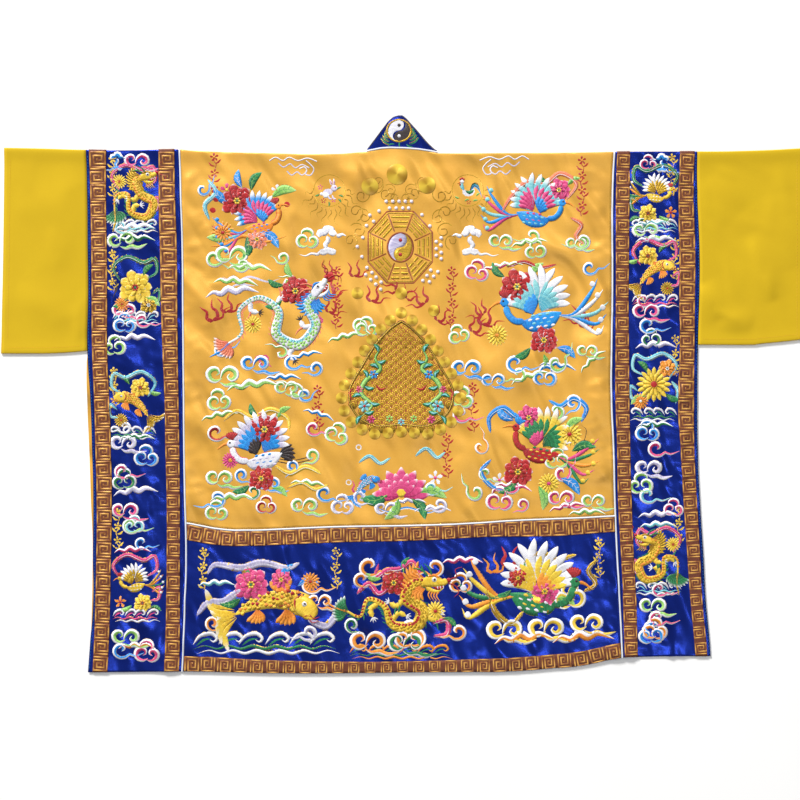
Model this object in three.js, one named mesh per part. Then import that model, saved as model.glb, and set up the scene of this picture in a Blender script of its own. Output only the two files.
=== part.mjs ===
// A taoist ceremonial robe laid out flat with its back up: a gold satin field, blue satin
// bands with woven fret ribbons, white piping, plain yellow sleeves and a blue collar
// band that folds to a peak behind the neck.
// Millimetres, +Z up, +Y towards the collar, +X to the right seen from above. The origin
// is at the middle of the robe's footprint, on the surface that it lies on.
import * as THREE from "three";

// Thicknesses and seams.
const CLOTH = 1.5; // one layer of satin with its backing
const RIBBON = 1.0; // woven fret ribbon
const PATCH = 1.0; // embroidered collar medallion
const SEAM = 0.3; // what parts two pieces where they are sewn or lie on each other
const UPPER_FACE = CLOTH + SEAM + CLOTH; // outer face of the back layer, where it lies flat

// White piping: a fat cord in a seam, wide enough to part the two panels beside it.
const PIPING_HALF_WIDTH = 2.2;
const PIPING_RISE = 1.4;
const PIPING_SHOULDER = 0.4; // height of its sides, before its top slopes in
const PIPING_TOP_HALF = 1.2;
const PIPING_ROOM = PIPING_HALF_WIDTH + SEAM; // from the seam's middle to a panel's edge

// Soft rolls, where the cloth turns over from the back layer to the front layer.
const SHOULDER_ROLL = 3.4; // outer radius
const SHOULDER_REACH = 24; // how far down the back the roll fades out
const SLEEVE_ROLL = 2.4; // outer radius under the sleeve
const SLEEVE_REACH = 20;
const FOLD_START = 45; // folds grow from nothing over this much cloth from a roll
const BACK_CURL = [-20, 20, 55, 90]; // degrees round the shoulder roll, 0 at its edge
const FRONT_CURL = [-90, -60, -28];
const NECK_STEPS = [0, 1.2, 2.4, 3.6]; // the same rows where the neckline is cut flat

// Neck and collar.
const NECK_HALF = 86; // from the middle of the neck to its corner on the shoulder
const NECK_FADE = 29; // the shoulder roll flattens over this much inside the corner
const BAND_OUTER = 84; // collar band, from the middle of the front to its outer edge
const BAND_GAP = 0.15; // half of what parts the two bands at the middle of the front
const BAND_INSET = 1; // how far the bands' ends stay inside the peak that covers them
const MEDALLION = { x: -7, y: 633, halfWidth: 30, halfHeight: 27 };

// The fronts end a little short of the back's hem.
const FRONT_SHORTER = 4;

// Lines that run down the robe: at each height y, how far a line lies from the middle.
const DOWN_NAMES = [
  "y", "leftEdge", "leftOuterA", "leftOuterB", "leftInnerA", "leftInnerB", "leftPiping",
  "rightPiping", "rightInnerA", "rightInnerB", "rightOuterA", "rightOuterB", "rightEdge",
];
const DOWN = [
  [590, -758, -751, -709, -584, -546, -534, 510, 516, 547, 667, 702, 708],
  [467, -755, -748, -710, -584, -544, -530, 505, 513, 546, 663, 700, 709],
  [347, -754, -746, -708, -581, -540, -527, 505, 513, 545, 665, 704, 714],
  [227, -753, -745, -707, -579, -539, -526, 505, 513, 544, 665, 703, 713],
  [107, -755, -744, -707, -575, -538, -525, 503, 512, 545, 666, 702, 710],
  [-13, -748, -739, -702, -570, -536, -524, 503, 512, 546, 662, 701, 709],
  [-133, -744, -736, -698, -568, -534, -523, 508, 516, 548, 668, 702, 710],
  [-253, -741, -733, -696, -565, -533, -521, 511, 518, 551, 675, 708, 715],
  [-397, -742, -734, -698, -565, -533, -518, 517, 526, 557, 685, 716, 724],
  [-493, -741, -736, -700, -566, -533, -521, 522, 530, 562, 692, 721, 729],
  [-589, -748, -739, -703, -568, -533, -524, 527, 533, 565, 701, 730, 738],
  [-671, -754, -743, -707, -571, -535, -528, 529, 536, 568, 707, 736, 743],
];

// Outer edges of the two fronts, a little inside the back's at the armholes. Below its
// sleeve the left one shows beyond the back.
const FRONT_EDGE_NAMES = ["y", "left", "right"];
const FRONT_EDGES = [
  [590, -757, 707], [467, -754, 708], [347, -753, 713], [227, -752, 712],
  [107, -754, 709], [80, -757, 706], [-13, -756, 704], [-133, -751, 705],
  [-253, -747, 710], [-397, -743, 718], [-671, -750, 738],
];

// Lines that run across: the shoulder with the sleeves, and the rows of the hem.
const SHOULDER_NAMES = ["x", "y"];
const SHOULDER = [
  [-962, 592], [-860, 590], [-758, 587], [-646, 586], [-538, 588], [-506, 585],
  [-326, 579], [-156, 577], [-86, 581.5], [86, 578.5], [230, 579], [398, 580],
  [506, 582], [607, 583], [708, 583], [842, 585], [962, 591],
];
const NECKLINE = [
  [-86, 584], [-66, 588], [-44, 591.5], [-12, 592], [25, 590], [56, 586.5], [86, 581],
];
const HEM_NAMES = ["x", "piping", "upperRibbonFoot", "lowerRibbonHead", "foot"];
const HEM = [
  [-760, -309, -349, -628, -667],
  [-530, -309, -349, -628, -665],
  [-490, -314, -354, -629, -665],
  [-439, -323, -361, -631, -666],
  [-377, -326, -363, -635, -667.5],
  [-300, -324, -361, -638, -669],
  [-156, -318, -355, -641, -669],
  [19, -315, -351, -640, -667],
  [178, -309, -343, -635, -666],
  [252, -304, -341, -632, -665],
  [362, -299, -340, -624, -657],
  [437, -296, -335, -615, -650],
  [509, -292, -330, -599, -635],
  [566, -290, -329, -594, -630],
  [750, -289, -328, -592, -628],
];

// Top of the collar's peak, and the sleeves' cuffs and lower edges.
const COLLAR_PEAK = [
  [-86, 585], [-79, 594], [-58, 622], [-42, 643], [-26, 661.5], [-12, 668.5], [-4, 669.5],
  [4, 667.5], [22, 649], [40, 629], [57, 609], [72, 594], [86, 582],
];
const CUFF_NAMES = ["y", "left", "right"];
const CUFFS = [
  [600, -954, 962],
  [350, -957, 962],
  [100, -962, 962],
];
const SLEEVE_FOOT = [
  [-962, 98], [-888, 98], [-829, 99], [-770, 103], [-750, 105],
  [700, 119], [847, 119], [859, 121], [910, 126], [962, 132],
];

// The largest folds of the back layer, each a soft ridge from one point to another.
const FOLD_NAMES = ["x1", "y1", "x2", "y2", "half", "rise"];
const FOLDS = [
  // Gold field: under the neck, down both edges, and the slack in its middle.
  [-84, 570, -150, 420, 28, 3.0],
  [88, 566, 120, 430, 26, 3.2],
  [-260, 510, -200, 380, 40, 1.8],
  [230, 540, 190, 400, 38, 1.8],
  [-505, 560, -512, 380, 30, 3.4],
  [-500, 380, -420, 300, 30, 2.6],
  [-515, 250, -400, 180, 32, 2.4],
  [-512, 110, -440, 20, 32, 2.8],
  [-505, -20, -450, -110, 30, 3.2],
  [-500, -150, -380, -230, 32, 2.4],
  [370, 560, 470, 420, 34, 3.0],
  [490, 500, 415, 380, 30, 2.8],
  [495, 350, 440, 270, 30, 3.0],
  [495, 240, 420, 180, 30, 2.6],
  [490, 110, 430, 60, 30, 3.0],
  [498, -20, 400, -80, 32, 2.4],
  [500, -140, 440, -230, 30, 2.6],
  [-300, 60, -170, 20, 38, 1.8],
  [-190, -110, -110, -170, 36, 2.6],
  [-60, -60, 60, -90, 40, 1.8],
  [150, -130, 230, -230, 36, 2.4],
  // Blue hem panel.
  [-500, -365, -410, -490, 26, 4.0],
  [-470, -340, -330, -400, 26, 3.2],
  [-380, -440, -290, -560, 32, 2.6],
  [-150, -370, -90, -450, 30, 3.0],
  [-110, -560, -20, -500, 30, 2.4],
  [120, -360, 180, -470, 30, 3.0],
  [250, -350, 330, -430, 30, 2.8],
  [470, -340, 400, -480, 30, 3.0],
  [490, -470, 430, -590, 30, 2.6],
  [150, -520, 260, -600, 32, 2.2],
  // Blue side bands.
  [-700, 510, -590, 460, 30, 2.0],
  [-590, 330, -700, 260, 30, 2.2],
  [-700, 130, -600, 60, 30, 2.4],
  [-590, -90, -700, -160, 30, 2.2],
  [-700, -300, -590, -390, 30, 2.6],
  [-590, -520, -700, -590, 30, 2.4],
  [540, 510, 670, 440, 30, 2.2],
  [680, 300, 560, 230, 30, 2.2],
  [540, 90, 670, 30, 30, 2.4],
  [690, -110, 560, -190, 30, 2.4],
  [560, -330, 690, -400, 30, 2.6],
  [690, -500, 570, -580, 30, 2.4],
  // Sleeves.
  [-930, 470, -800, 440, 40, 1.8],
  [-800, 560, -820, 300, 40, 1.8],
  [-930, 250, -790, 180, 36, 2.0],
  [720, 265, 770, 180, 28, 3.2],
  [765, 190, 845, 165, 26, 2.6],
  [835, 385, 895, 225, 32, 3.0],
  [900, 480, 940, 300, 36, 2.0],
  [740, 520, 820, 440, 40, 1.8],
];

// How finely each piece is divided.
const FIELD_SIDE_CELLS = 12; // from a piping to a neck corner
const NECK_CELLS = 6;
const FIELD_ROWS = 24;
const HEM_ROWS = 6; // between the two hem ribbons
const ROLL_ROWS = [14, 34]; // distances below the shoulder
const SIDE_INNER_CELLS = 4; // between the two ribbons of a side band
const SLEEVE_CELLS = 6;
const SLEEVE_UPPER_ROWS = 11;
const SLEEVE_LOWER_ROWS = 6;
const SLEEVE_CURL = [90, 45, 0, -45, -90];
const SLEEVE_SHOULDER_CURL = [-90, -50, -10, 25, 60, 90];
const FRONT_HEIGHTS = [-397, -253, -133, -13, 80, 107, 227, 347, 467];
const BAND_CELLS = 4;
const BAND_HEIGHTS = [-400, -100, 200, 500];
const COLLAR_ROWS = 3;
const MEDALLION_SEGMENTS = 20;
const CROSSING_ROUNDS = 4; // rounds that find where a column crosses a row

// Colours, as sRGB.
const COLOURS = {
  gold: 0xe9ae4c,
  blue: 0x22379f,
  yellow: 0xdcba1c,
  ribbon: 0x9c5a2e,
  white: 0xe9edf6,
  medallion: 0xcfdcea,
};

const robe = new THREE.Group();
robe.name = "taoist_robe";

// Numbers and lines.
const mix = (a, b, share) => a + (b - a) * share;
const clamp01 = (value) => Math.min(1, Math.max(0, value));
const smooth = (value) => clamp01(value) ** 2 * (3 - 2 * clamp01(value));
const range = (count) => Array.from({ length: count }, (_, k) => k);
const radians = (degrees) => (degrees * Math.PI) / 180;

// A smooth curve through a table's rows: its first column is the station, and the column
// that `name` gives is the value. It runs straight on past both ends.
function smoothLine(rows, names, name) {
  const column = names.indexOf(name);
  const falling = rows[0][0] > rows[1][0];
  const points = rows.map((row) => [row[0], row[column]]);
  if (falling) points.reverse();
  const slope = (a, b) => (points[b][1] - points[a][1]) / (points[b][0] - points[a][0]);
  const last = points.length - 1;
  const slopes = points.map((_, k) => slope(Math.max(k - 1, 0), Math.min(k + 1, last)));
  return (station) => {
    if (station <= points[0][0]) return points[0][1] + slopes[0] * (station - points[0][0]);
    if (station >= points[last][0]) {
      return points[last][1] + slopes[last] * (station - points[last][0]);
    }
    let k = 0;
    while (station > points[k + 1][0]) k += 1;
    const span = points[k + 1][0] - points[k][0];
    const t = (station - points[k][0]) / span;
    const start = points[k][1] + t * span * slopes[k];
    const end = points[k + 1][1] - (1 - t) * span * slopes[k + 1];
    return mix(start, end, smooth(t));
  };
}

const down = {};
for (const name of DOWN_NAMES.slice(1)) down[name] = smoothLine(DOWN, DOWN_NAMES, name);
const hem = {};
for (const name of HEM_NAMES.slice(1)) hem[name] = smoothLine(HEM, HEM_NAMES, name);
const frontEdge = {
  left: smoothLine(FRONT_EDGES, FRONT_EDGE_NAMES, "left"),
  right: smoothLine(FRONT_EDGES, FRONT_EDGE_NAMES, "right"),
};
const cuff = {
  left: smoothLine(CUFFS, CUFF_NAMES, "left"),
  right: smoothLine(CUFFS, CUFF_NAMES, "right"),
};
const shoulderLine = smoothLine(SHOULDER, SHOULDER_NAMES, "y");
const neckLine = smoothLine(NECKLINE, SHOULDER_NAMES, "y");
const collarPeak = smoothLine(COLLAR_PEAK, SHOULDER_NAMES, "y");
const sleeveFoot = smoothLine(SLEEVE_FOOT, SHOULDER_NAMES, "y");

// The back layer's upper edge: the shoulder roll, or the seam with the neck's piping.
function backTop(x) {
  return Math.abs(x) < NECK_HALF ? neckLine(x) - PIPING_ROOM : shoulderLine(x);
}

// 1 where the cloth rolls over the shoulder, 0 across the neck.
function rollShare(x) {
  return smooth((Math.abs(x) - NECK_HALF + NECK_FADE) / NECK_FADE);
}

// A fold's height at a point: a soft ridge that fades at both ends.
function foldHeight(fold, x, y) {
  const [x1, y1, x2, y2, half, rise] = fold;
  const length = Math.hypot(x2 - x1, y2 - y1);
  const alongX = (x2 - x1) / length;
  const alongY = (y2 - y1) / length;
  const along = ((x - x1) * alongX + (y - y1) * alongY) / length;
  if (along <= 0 || along >= 1) return 0;
  const across = (y - y1) * alongX - (x - x1) * alongY;
  return rise * Math.sin(Math.PI * along) * Math.exp(-((across / half) ** 2));
}

// How far the back layer is lifted above the plane where it would lie flat.
function lift(x, y) {
  const fromEdge = Math.max(backTop(x) - y - SHOULDER_ROLL, 0);
  const roll = (2 * SHOULDER_ROLL - UPPER_FACE) * rollShare(x);
  const folds = FOLDS.reduce((sum, fold) => sum + foldHeight(fold, x, y), 0);
  return (
    roll * Math.exp(-((fromEdge / SHOULDER_REACH) ** 2)) +
    folds * smooth(fromEdge / FOLD_START)
  );
}

// Rows of the back layer. Each has the height y of its line at x; the curled ones have
// an angle round the shoulder roll too. `out` below is the distance out of the outer face.
const curlRows = BACK_CURL.map((degrees, k) => ({
  angle: radians(degrees),
  neckStep: NECK_STEPS[k],
  y: (x) => backTop(x) - NECK_STEPS[k],
}));
const rollRows = ROLL_ROWS.map((distance) => ({ y: (x) => backTop(x) - distance }));
const fieldRows = range(FIELD_ROWS).map((k) => ({
  y: (x) =>
    mix(backTop(x) - ROLL_ROWS[1], hem.piping(x) + PIPING_ROOM, (k + 1) / FIELD_ROWS),
}));
const hemTopRow = { y: (x) => hem.piping(x) - PIPING_ROOM };
const ribbonFootRow = { y: (x) => hem.upperRibbonFoot(x) };
const hemRows = range(HEM_ROWS).map((k) => ({
  y: (x) => mix(hem.upperRibbonFoot(x), hem.lowerRibbonHead(x), (k + 1) / HEM_ROWS),
}));
const footRow = { y: (x) => hem.foot(x) };
const backRows = [...curlRows, ...rollRows, ...fieldRows];
const lowerRows = [ribbonFootRow, ...hemRows, footRow];
const sideRows = [...backRows, ...lowerRows];

// A point of the back layer, where the line `column` crosses the row.
function backPoint(column, row, out) {
  let x = column(0);
  for (let k = 0; k < CROSSING_ROUNDS; k += 1) x = column(row.y(x));
  return placeOnBack(x, row, out);
}

function placeOnBack(x, row, out) {
  const y = row.y(x);
  if (row.angle === undefined) {
    return new THREE.Vector3(x, y, UPPER_FACE + lift(x, y) + out);
  }
  const radius = SHOULDER_ROLL + out;
  const rolledY = backTop(x) - SHOULDER_ROLL + radius * Math.cos(row.angle);
  const rolledZ = SHOULDER_ROLL + radius * Math.sin(row.angle);
  const share = rollShare(x);
  return new THREE.Vector3(x, mix(y, rolledY, share), mix(UPPER_FACE + out, rolledZ, share));
}

// Geometry from points and triangles, turned round if its faces point inwards.
function closedGeometry(points, triangles) {
  let volume = 0;
  const cross = new THREE.Vector3();
  for (let k = 0; k < triangles.length; k += 3) {
    const [a, b, c] = [0, 1, 2].map((corner) => points[triangles[k + corner]]);
    volume += a.dot(cross.crossVectors(b, c));
  }
  const faces = volume < 0 ? [...triangles].reverse() : triangles;
  const geometry = new THREE.BufferGeometry().setFromPoints(points);
  geometry.setIndex(faces);
  geometry.computeVertexNormals();
  return geometry;
}

const quad = (a, b, c, d) => [a, b, c, a, c, d];

// A closed wall over a grid of cells. point(column, row, out) gives its points.
function wall(columns, rows, point, outer, inner) {
  const points = [];
  for (const out of [outer, inner]) {
    for (let j = 0; j <= rows; j += 1) {
      for (let i = 0; i <= columns; i += 1) points.push(point(i, j, out));
    }
  }
  const back = (columns + 1) * (rows + 1);
  const at = (i, j) => j * (columns + 1) + i;
  const triangles = [];
  for (let j = 0; j < rows; j += 1) {
    for (let i = 0; i < columns; i += 1) {
      const [a, b, c, d] = [at(i, j), at(i, j + 1), at(i + 1, j + 1), at(i + 1, j)];
      triangles.push(...quad(a, b, c, d));
      triangles.push(back + a, back + c, back + b, back + a, back + d, back + c);
    }
  }
  const rim = [
    ...range(columns).map((i) => [at(i + 1, 0), at(i, 0)]),
    ...range(rows).map((j) => [at(0, j), at(0, j + 1)]),
    ...range(columns).map((i) => [at(i, rows), at(i + 1, rows)]),
    ...range(rows).map((j) => [at(columns, j + 1), at(columns, j)]),
  ];
  for (const [a, b] of rim) triangles.push(...quad(a, back + a, back + b, b));
  return closedGeometry(points, triangles);
}

// A closed tube wall: `loop` points round each station, open at both ends.
function tubeWall(stations, loop, point, outer, inner) {
  const points = [];
  for (const out of [outer, inner]) {
    for (let i = 0; i <= stations; i += 1) {
      for (let j = 0; j < loop; j += 1) points.push(point(i, j, out));
    }
  }
  const back = (stations + 1) * loop;
  const at = (i, j) => i * loop + (j % loop);
  const triangles = [];
  for (let i = 0; i < stations; i += 1) {
    for (let j = 0; j < loop; j += 1) {
      const [a, b, c, d] = [at(i, j), at(i, j + 1), at(i + 1, j + 1), at(i + 1, j)];
      triangles.push(...quad(a, b, c, d));
      triangles.push(back + a, back + c, back + b, back + a, back + d, back + c);
    }
  }
  for (let j = 0; j < loop; j += 1) {
    const [a, b] = [at(0, j), at(0, j + 1)];
    const [c, d] = [at(stations, j), at(stations, j + 1)];
    triangles.push(...quad(b, a, back + a, back + b));
    triangles.push(...quad(c, d, back + d, back + c));
  }
  return closedGeometry(points, triangles);
}

// A solid strip through a row of matching sections, with a flat cap at each end.
function strip(sections) {
  const sides = sections[0].length;
  const points = sections.flat();
  const triangles = [];
  for (let k = 0; k + 1 < sections.length; k += 1) {
    for (let side = 0; side < sides; side += 1) {
      const next = (side + 1) % sides;
      const here = k * sides;
      const there = here + sides;
      triangles.push(...quad(here + side, here + next, there + next, there + side));
    }
  }
  const end = (sections.length - 1) * sides;
  for (let side = 1; side + 1 < sides; side += 1) {
    triangles.push(0, side + 1, side, end, end + side, end + side + 1);
  }
  return closedGeometry(points, triangles);
}

function addPiece(name, geometry, colour, roughness) {
  const material = new THREE.MeshStandardMaterial({ color: colour, roughness, metalness: 0 });
  const mesh = new THREE.Mesh(geometry, material);
  mesh.name = name;
  robe.add(mesh);
  return mesh;
}

// Columns of the gold field and the hem panel, from the left piping to the right one,
// with one column exactly at each corner of the neck.
const fieldLeft = (y) => down.leftPiping(y) + PIPING_ROOM;
const fieldRight = (y) => down.rightPiping(y) - PIPING_ROOM;
const fieldColumns = [
  ...range(FIELD_SIDE_CELLS).map((k) => (y) => mix(fieldLeft(y), -NECK_HALF, k / FIELD_SIDE_CELLS)),
  ...range(NECK_CELLS).map((k) => () => mix(-NECK_HALF, NECK_HALF, k / NECK_CELLS)),
  ...range(FIELD_SIDE_CELLS + 1).map(
    (k) => (y) => mix(NECK_HALF, fieldRight(y), k / FIELD_SIDE_CELLS),
  ),
];

// Columns of a side band, left to right; its ribbons lie between two of them.
function sideColumns(edgeA, ribbonA, ribbonB, ribbonC, ribbonD, edgeB) {
  const between = range(SIDE_INNER_CELLS - 1).map(
    (k) => (y) => mix(ribbonB(y), ribbonC(y), (k + 1) / SIDE_INNER_CELLS),
  );
  return [edgeA, ribbonA, ribbonB, ...between, ribbonC, ribbonD, edgeB];
}
const leftColumns = sideColumns(
  down.leftEdge,
  down.leftOuterA,
  down.leftOuterB,
  down.leftInnerA,
  down.leftInnerB,
  (y) => down.leftPiping(y) - PIPING_ROOM,
);
const rightColumns = sideColumns(
  (y) => down.rightPiping(y) + PIPING_ROOM,
  down.rightInnerA,
  down.rightInnerB,
  down.rightOuterA,
  down.rightOuterB,
  down.rightEdge,
);

// A piece of the back layer between the first and last of its columns and rows.
function backWall(columns, rows, outer, inner) {
  const point = (i, j, out) => backPoint(columns[i], rows[j], out);
  return wall(columns.length - 1, rows.length - 1, point, outer, inner);
}

// Panels.
addPiece("back_field", backWall(fieldColumns, backRows, 0, -CLOTH), COLOURS.gold, 0.42);
const hemPanelRows = [hemTopRow, ...lowerRows];
addPiece("back_hem_panel", backWall(fieldColumns, hemPanelRows, 0, -CLOTH), COLOURS.blue, 0.4);
addPiece("side_band_left", backWall(leftColumns, sideRows, 0, -CLOTH), COLOURS.blue, 0.4);
addPiece("side_band_right", backWall(rightColumns, sideRows, 0, -CLOTH), COLOURS.blue, 0.4);

// Fret ribbons, on the panels' own points.
function addRibbon(name, columns, rows) {
  addPiece(name, backWall(columns, rows, SEAM + RIBBON, SEAM), COLOURS.ribbon, 0.6);
}
addRibbon("ribbon_left_outer", leftColumns.slice(1, 3), sideRows);
addRibbon("ribbon_left_inner", leftColumns.slice(-3, -1), sideRows);
addRibbon("ribbon_right_inner", rightColumns.slice(1, 3), sideRows);
addRibbon("ribbon_right_outer", rightColumns.slice(-3, -1), sideRows);
addRibbon("ribbon_hem_upper", fieldColumns, hemPanelRows.slice(0, 2));
addRibbon("ribbon_hem_lower", fieldColumns, hemPanelRows.slice(-2));

// White piping in the seams: across the seam, and out of the panels' outer face.
const PIPING_SECTION = [
  [-PIPING_HALF_WIDTH, -CLOTH],
  [-PIPING_HALF_WIDTH, PIPING_SHOULDER],
  [-PIPING_TOP_HALF, PIPING_RISE],
  [PIPING_TOP_HALF, PIPING_RISE],
  [PIPING_HALF_WIDTH, PIPING_SHOULDER],
  [PIPING_HALF_WIDTH, -CLOTH],
];
function addPiping(name, sections) {
  addPiece(name, strip(sections), COLOURS.white, 0.5);
}
function pipingDown(line) {
  return sideRows.map((row) =>
    PIPING_SECTION.map(([across, out]) => backPoint((y) => line(y) + across, row, out)),
  );
}
addPiping("piping_left", pipingDown(down.leftPiping));
addPiping("piping_right", pipingDown(down.rightPiping));
addPiping(
  "piping_hem",
  fieldColumns.map((column) =>
    PIPING_SECTION.map(([across, out]) =>
      backPoint(column, { y: (x) => hem.piping(x) + across }, out),
    ),
  ),
);

// Neck piping and the collar's peak, both flat in the back layer's plane.
const neckStations = range(NECK_CELLS + 1).map((k) =>
  mix(-NECK_HALF + PIPING_ROOM, NECK_HALF - PIPING_ROOM, k / NECK_CELLS),
);
addPiping(
  "piping_neck",
  neckStations.map((x) =>
    PIPING_SECTION.map(
      ([across, out]) => new THREE.Vector3(x, neckLine(x) + across, UPPER_FACE + out),
    ),
  ),
);
const collarStations = COLLAR_PEAK.map(([x]) =>
  THREE.MathUtils.clamp(x, -NECK_HALF + PIPING_ROOM, NECK_HALF - PIPING_ROOM),
);
function collarPoint(i, j, out) {
  const x = collarStations[i];
  const foot = neckLine(x) + PIPING_ROOM;
  const top = Math.max(collarPeak(x), foot + PIPING_ROOM);
  return new THREE.Vector3(x, mix(top, foot, j / COLLAR_ROWS), UPPER_FACE + out);
}
addPiece(
  "collar_back",
  wall(collarStations.length - 1, COLLAR_ROWS, collarPoint, 0, -CLOTH),
  COLOURS.blue,
  0.4,
);
const medallionOutline = new THREE.Shape();
medallionOutline.absellipse(0, 0, MEDALLION.halfWidth, MEDALLION.halfHeight, 0, 2 * Math.PI);
const medallion = addPiece(
  "collar_medallion",
  new THREE.ExtrudeGeometry(medallionOutline, {
    depth: PATCH,
    bevelEnabled: false,
    curveSegments: MEDALLION_SEGMENTS,
  }),
  COLOURS.medallion,
  0.5,
);
medallion.position.set(MEDALLION.x, MEDALLION.y, UPPER_FACE + SEAM);

// Collar bands of the two fronts, on the surface; their slanted ends lie under the peak.
for (const [name, side] of [["collar_front_left", -1], ["collar_front_right", 1]]) {
  const rows = BAND_HEIGHTS.length + 1;
  const bandPoint = (i, j, out) => {
    const x = side * mix(BAND_GAP, BAND_OUTER, i / BAND_CELLS);
    const foot = hem.foot(x) + FRONT_SHORTER;
    const y = j === 0 ? foot : [...BAND_HEIGHTS, collarPeak(x) - BAND_INSET][j - 1];
    return new THREE.Vector3(x, y, -out);
  };
  addPiece(name, wall(BAND_CELLS, rows, bandPoint, 0, -CLOTH), COLOURS.blue, 0.4);
}

// The two fronts, flat on the surface, each curled up at the shoulder to meet the back.
function addFront(name, edge, columns, inner) {
  const outer = columns[0](shoulderLine(edge(0)));
  const shares = columns.map((column) => {
    const x = column(shoulderLine(column(0)));
    return clamp01((x - outer) / (inner - outer));
  });
  const rows = FRONT_HEIGHTS.length + 1;
  const point = (i, j, out) => {
    const xAt = (y) => mix(edge(y), inner, shares[i]);
    if (j > rows - 1) {
      const angle = radians(FRONT_CURL[j - rows]);
      const x = xAt(shoulderLine(xAt(DOWN[0][0])));
      const radius = SHOULDER_ROLL + out;
      const y = shoulderLine(x) - SHOULDER_ROLL + radius * Math.cos(angle);
      return new THREE.Vector3(x, y, SHOULDER_ROLL + radius * Math.sin(angle));
    }
    if (j > 0) return new THREE.Vector3(xAt(FRONT_HEIGHTS[j - 1]), FRONT_HEIGHTS[j - 1], -out);
    const x = xAt(DOWN.at(-1)[0]);
    return new THREE.Vector3(x, hem.foot(x) + FRONT_SHORTER, -out);
  };
  const geometry = wall(shares.length - 1, rows + FRONT_CURL.length - 1, point, 0, -CLOTH);
  addPiece(name, geometry, COLOURS.gold, 0.42);
}
const innerFront = BAND_OUTER + SEAM;
addFront(
  "front_left",
  frontEdge.left,
  [...leftColumns, ...fieldColumns.slice(0, FIELD_SIDE_CELLS), () => -innerFront],
  -innerFront,
);
addFront(
  "front_right",
  frontEdge.right,
  [...rightColumns].reverse().concat(
    [...fieldColumns].reverse().slice(0, FIELD_SIDE_CELLS),
    () => innerFront,
  ),
  innerFront,
);

// Sleeves: flat tubes with an open cuff, rolled over at the shoulder and under the arm.
function sleeveLift(x, y) {
  const fromFoot = Math.max(y - sleeveFoot(x) - SLEEVE_ROLL, 0);
  const roll = 2 * SLEEVE_ROLL - UPPER_FACE;
  return (
    roll * Math.exp(-((fromFoot / SLEEVE_REACH) ** 2)) +
    lift(x, y) * smooth(fromFoot / FOLD_START)
  );
}
const sleeveLoop = [
  ...SLEEVE_SHOULDER_CURL.map((degrees) => ({ angle: radians(degrees), shoulder: true })),
  ...ROLL_ROWS.map((distance) => ({ below: distance })),
  ...range(SLEEVE_UPPER_ROWS).map((k) => ({ share: (k + 1) / (SLEEVE_UPPER_ROWS + 1) })),
  ...SLEEVE_CURL.map((degrees) => ({ angle: radians(degrees), shoulder: false })),
  ...range(SLEEVE_LOWER_ROWS).map((k) => ({
    share: 1 - (k + 1) / (SLEEVE_LOWER_ROWS + 1),
    under: true,
  })),
];
function sleevePoint(x, place, out) {
  const top = shoulderLine(x);
  const foot = sleeveFoot(x);
  if (place.angle !== undefined) {
    const radius = place.shoulder ? SHOULDER_ROLL : SLEEVE_ROLL;
    const reach = (radius + out) * Math.cos(place.angle);
    const y = place.shoulder ? top - radius + reach : foot + radius - reach;
    return new THREE.Vector3(x, y, radius + (radius + out) * Math.sin(place.angle));
  }
  const start = top - ROLL_ROWS[1];
  const y = place.below ? top - place.below : mix(start, foot + SLEEVE_ROLL, place.share);
  return new THREE.Vector3(x, y, place.under ? -out : UPPER_FACE + sleeveLift(x, y) + out);
}
function addSleeve(name, cuffLine, armhole) {
  const point = (i, j, out) => {
    const place = sleeveLoop[j];
    let x = armhole(DOWN[0][0]);
    for (let k = 0; k < CROSSING_ROUNDS; k += 1) {
      const y = sleevePoint(x, place, 0).y;
      x = mix(cuffLine(y), armhole(y), i / SLEEVE_CELLS);
    }
    return sleevePoint(x, place, out);
  };
  const geometry = tubeWall(SLEEVE_CELLS, sleeveLoop.length, point, 0, -CLOTH);
  addPiece(name, geometry, COLOURS.yellow, 0.7);
}
addSleeve("sleeve_left", cuff.left, (y) => down.leftEdge(y) - SEAM);
addSleeve("sleeve_right", cuff.right, (y) => down.rightEdge(y) + SEAM);

export default robe;
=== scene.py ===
# %% [markdown]
# # A Taoist ceremonial robe, laid out flat
# The robe lies with its back up. Gold satin fills the middle of the back, blue satin runs
# down both sides and along the hem, and woven fret ribbons edge the blue. White piping
# parts the colours, and embroidery covers nearly all of the satin. The solids of the
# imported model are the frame: every piece below is made in the same place and units.

# %% Load the frame
import math

import bpy
import numpy as np
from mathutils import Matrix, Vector


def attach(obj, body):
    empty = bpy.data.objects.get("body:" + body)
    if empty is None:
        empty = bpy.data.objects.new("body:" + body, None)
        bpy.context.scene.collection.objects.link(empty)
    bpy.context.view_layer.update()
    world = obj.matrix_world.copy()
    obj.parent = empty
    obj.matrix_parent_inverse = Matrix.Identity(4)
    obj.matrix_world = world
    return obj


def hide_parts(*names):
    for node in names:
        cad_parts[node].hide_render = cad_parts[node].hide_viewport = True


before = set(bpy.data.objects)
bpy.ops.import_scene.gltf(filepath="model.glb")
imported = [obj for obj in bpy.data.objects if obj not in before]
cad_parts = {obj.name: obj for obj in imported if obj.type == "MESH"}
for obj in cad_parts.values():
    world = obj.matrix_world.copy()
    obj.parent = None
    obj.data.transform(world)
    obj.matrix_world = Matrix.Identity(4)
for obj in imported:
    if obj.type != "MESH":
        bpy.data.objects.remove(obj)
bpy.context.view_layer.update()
scene = bpy.context.scene
MM = 0.001

# %% [markdown]
# ## The lines of the cut
# Each line is a smooth curve through a few measured stations, in millimetres. Lines that
# run down the robe give x at a height y, and lines that run across give y at x. The
# solids are built on the same lines, so every panel made from them fits the frame.

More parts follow.
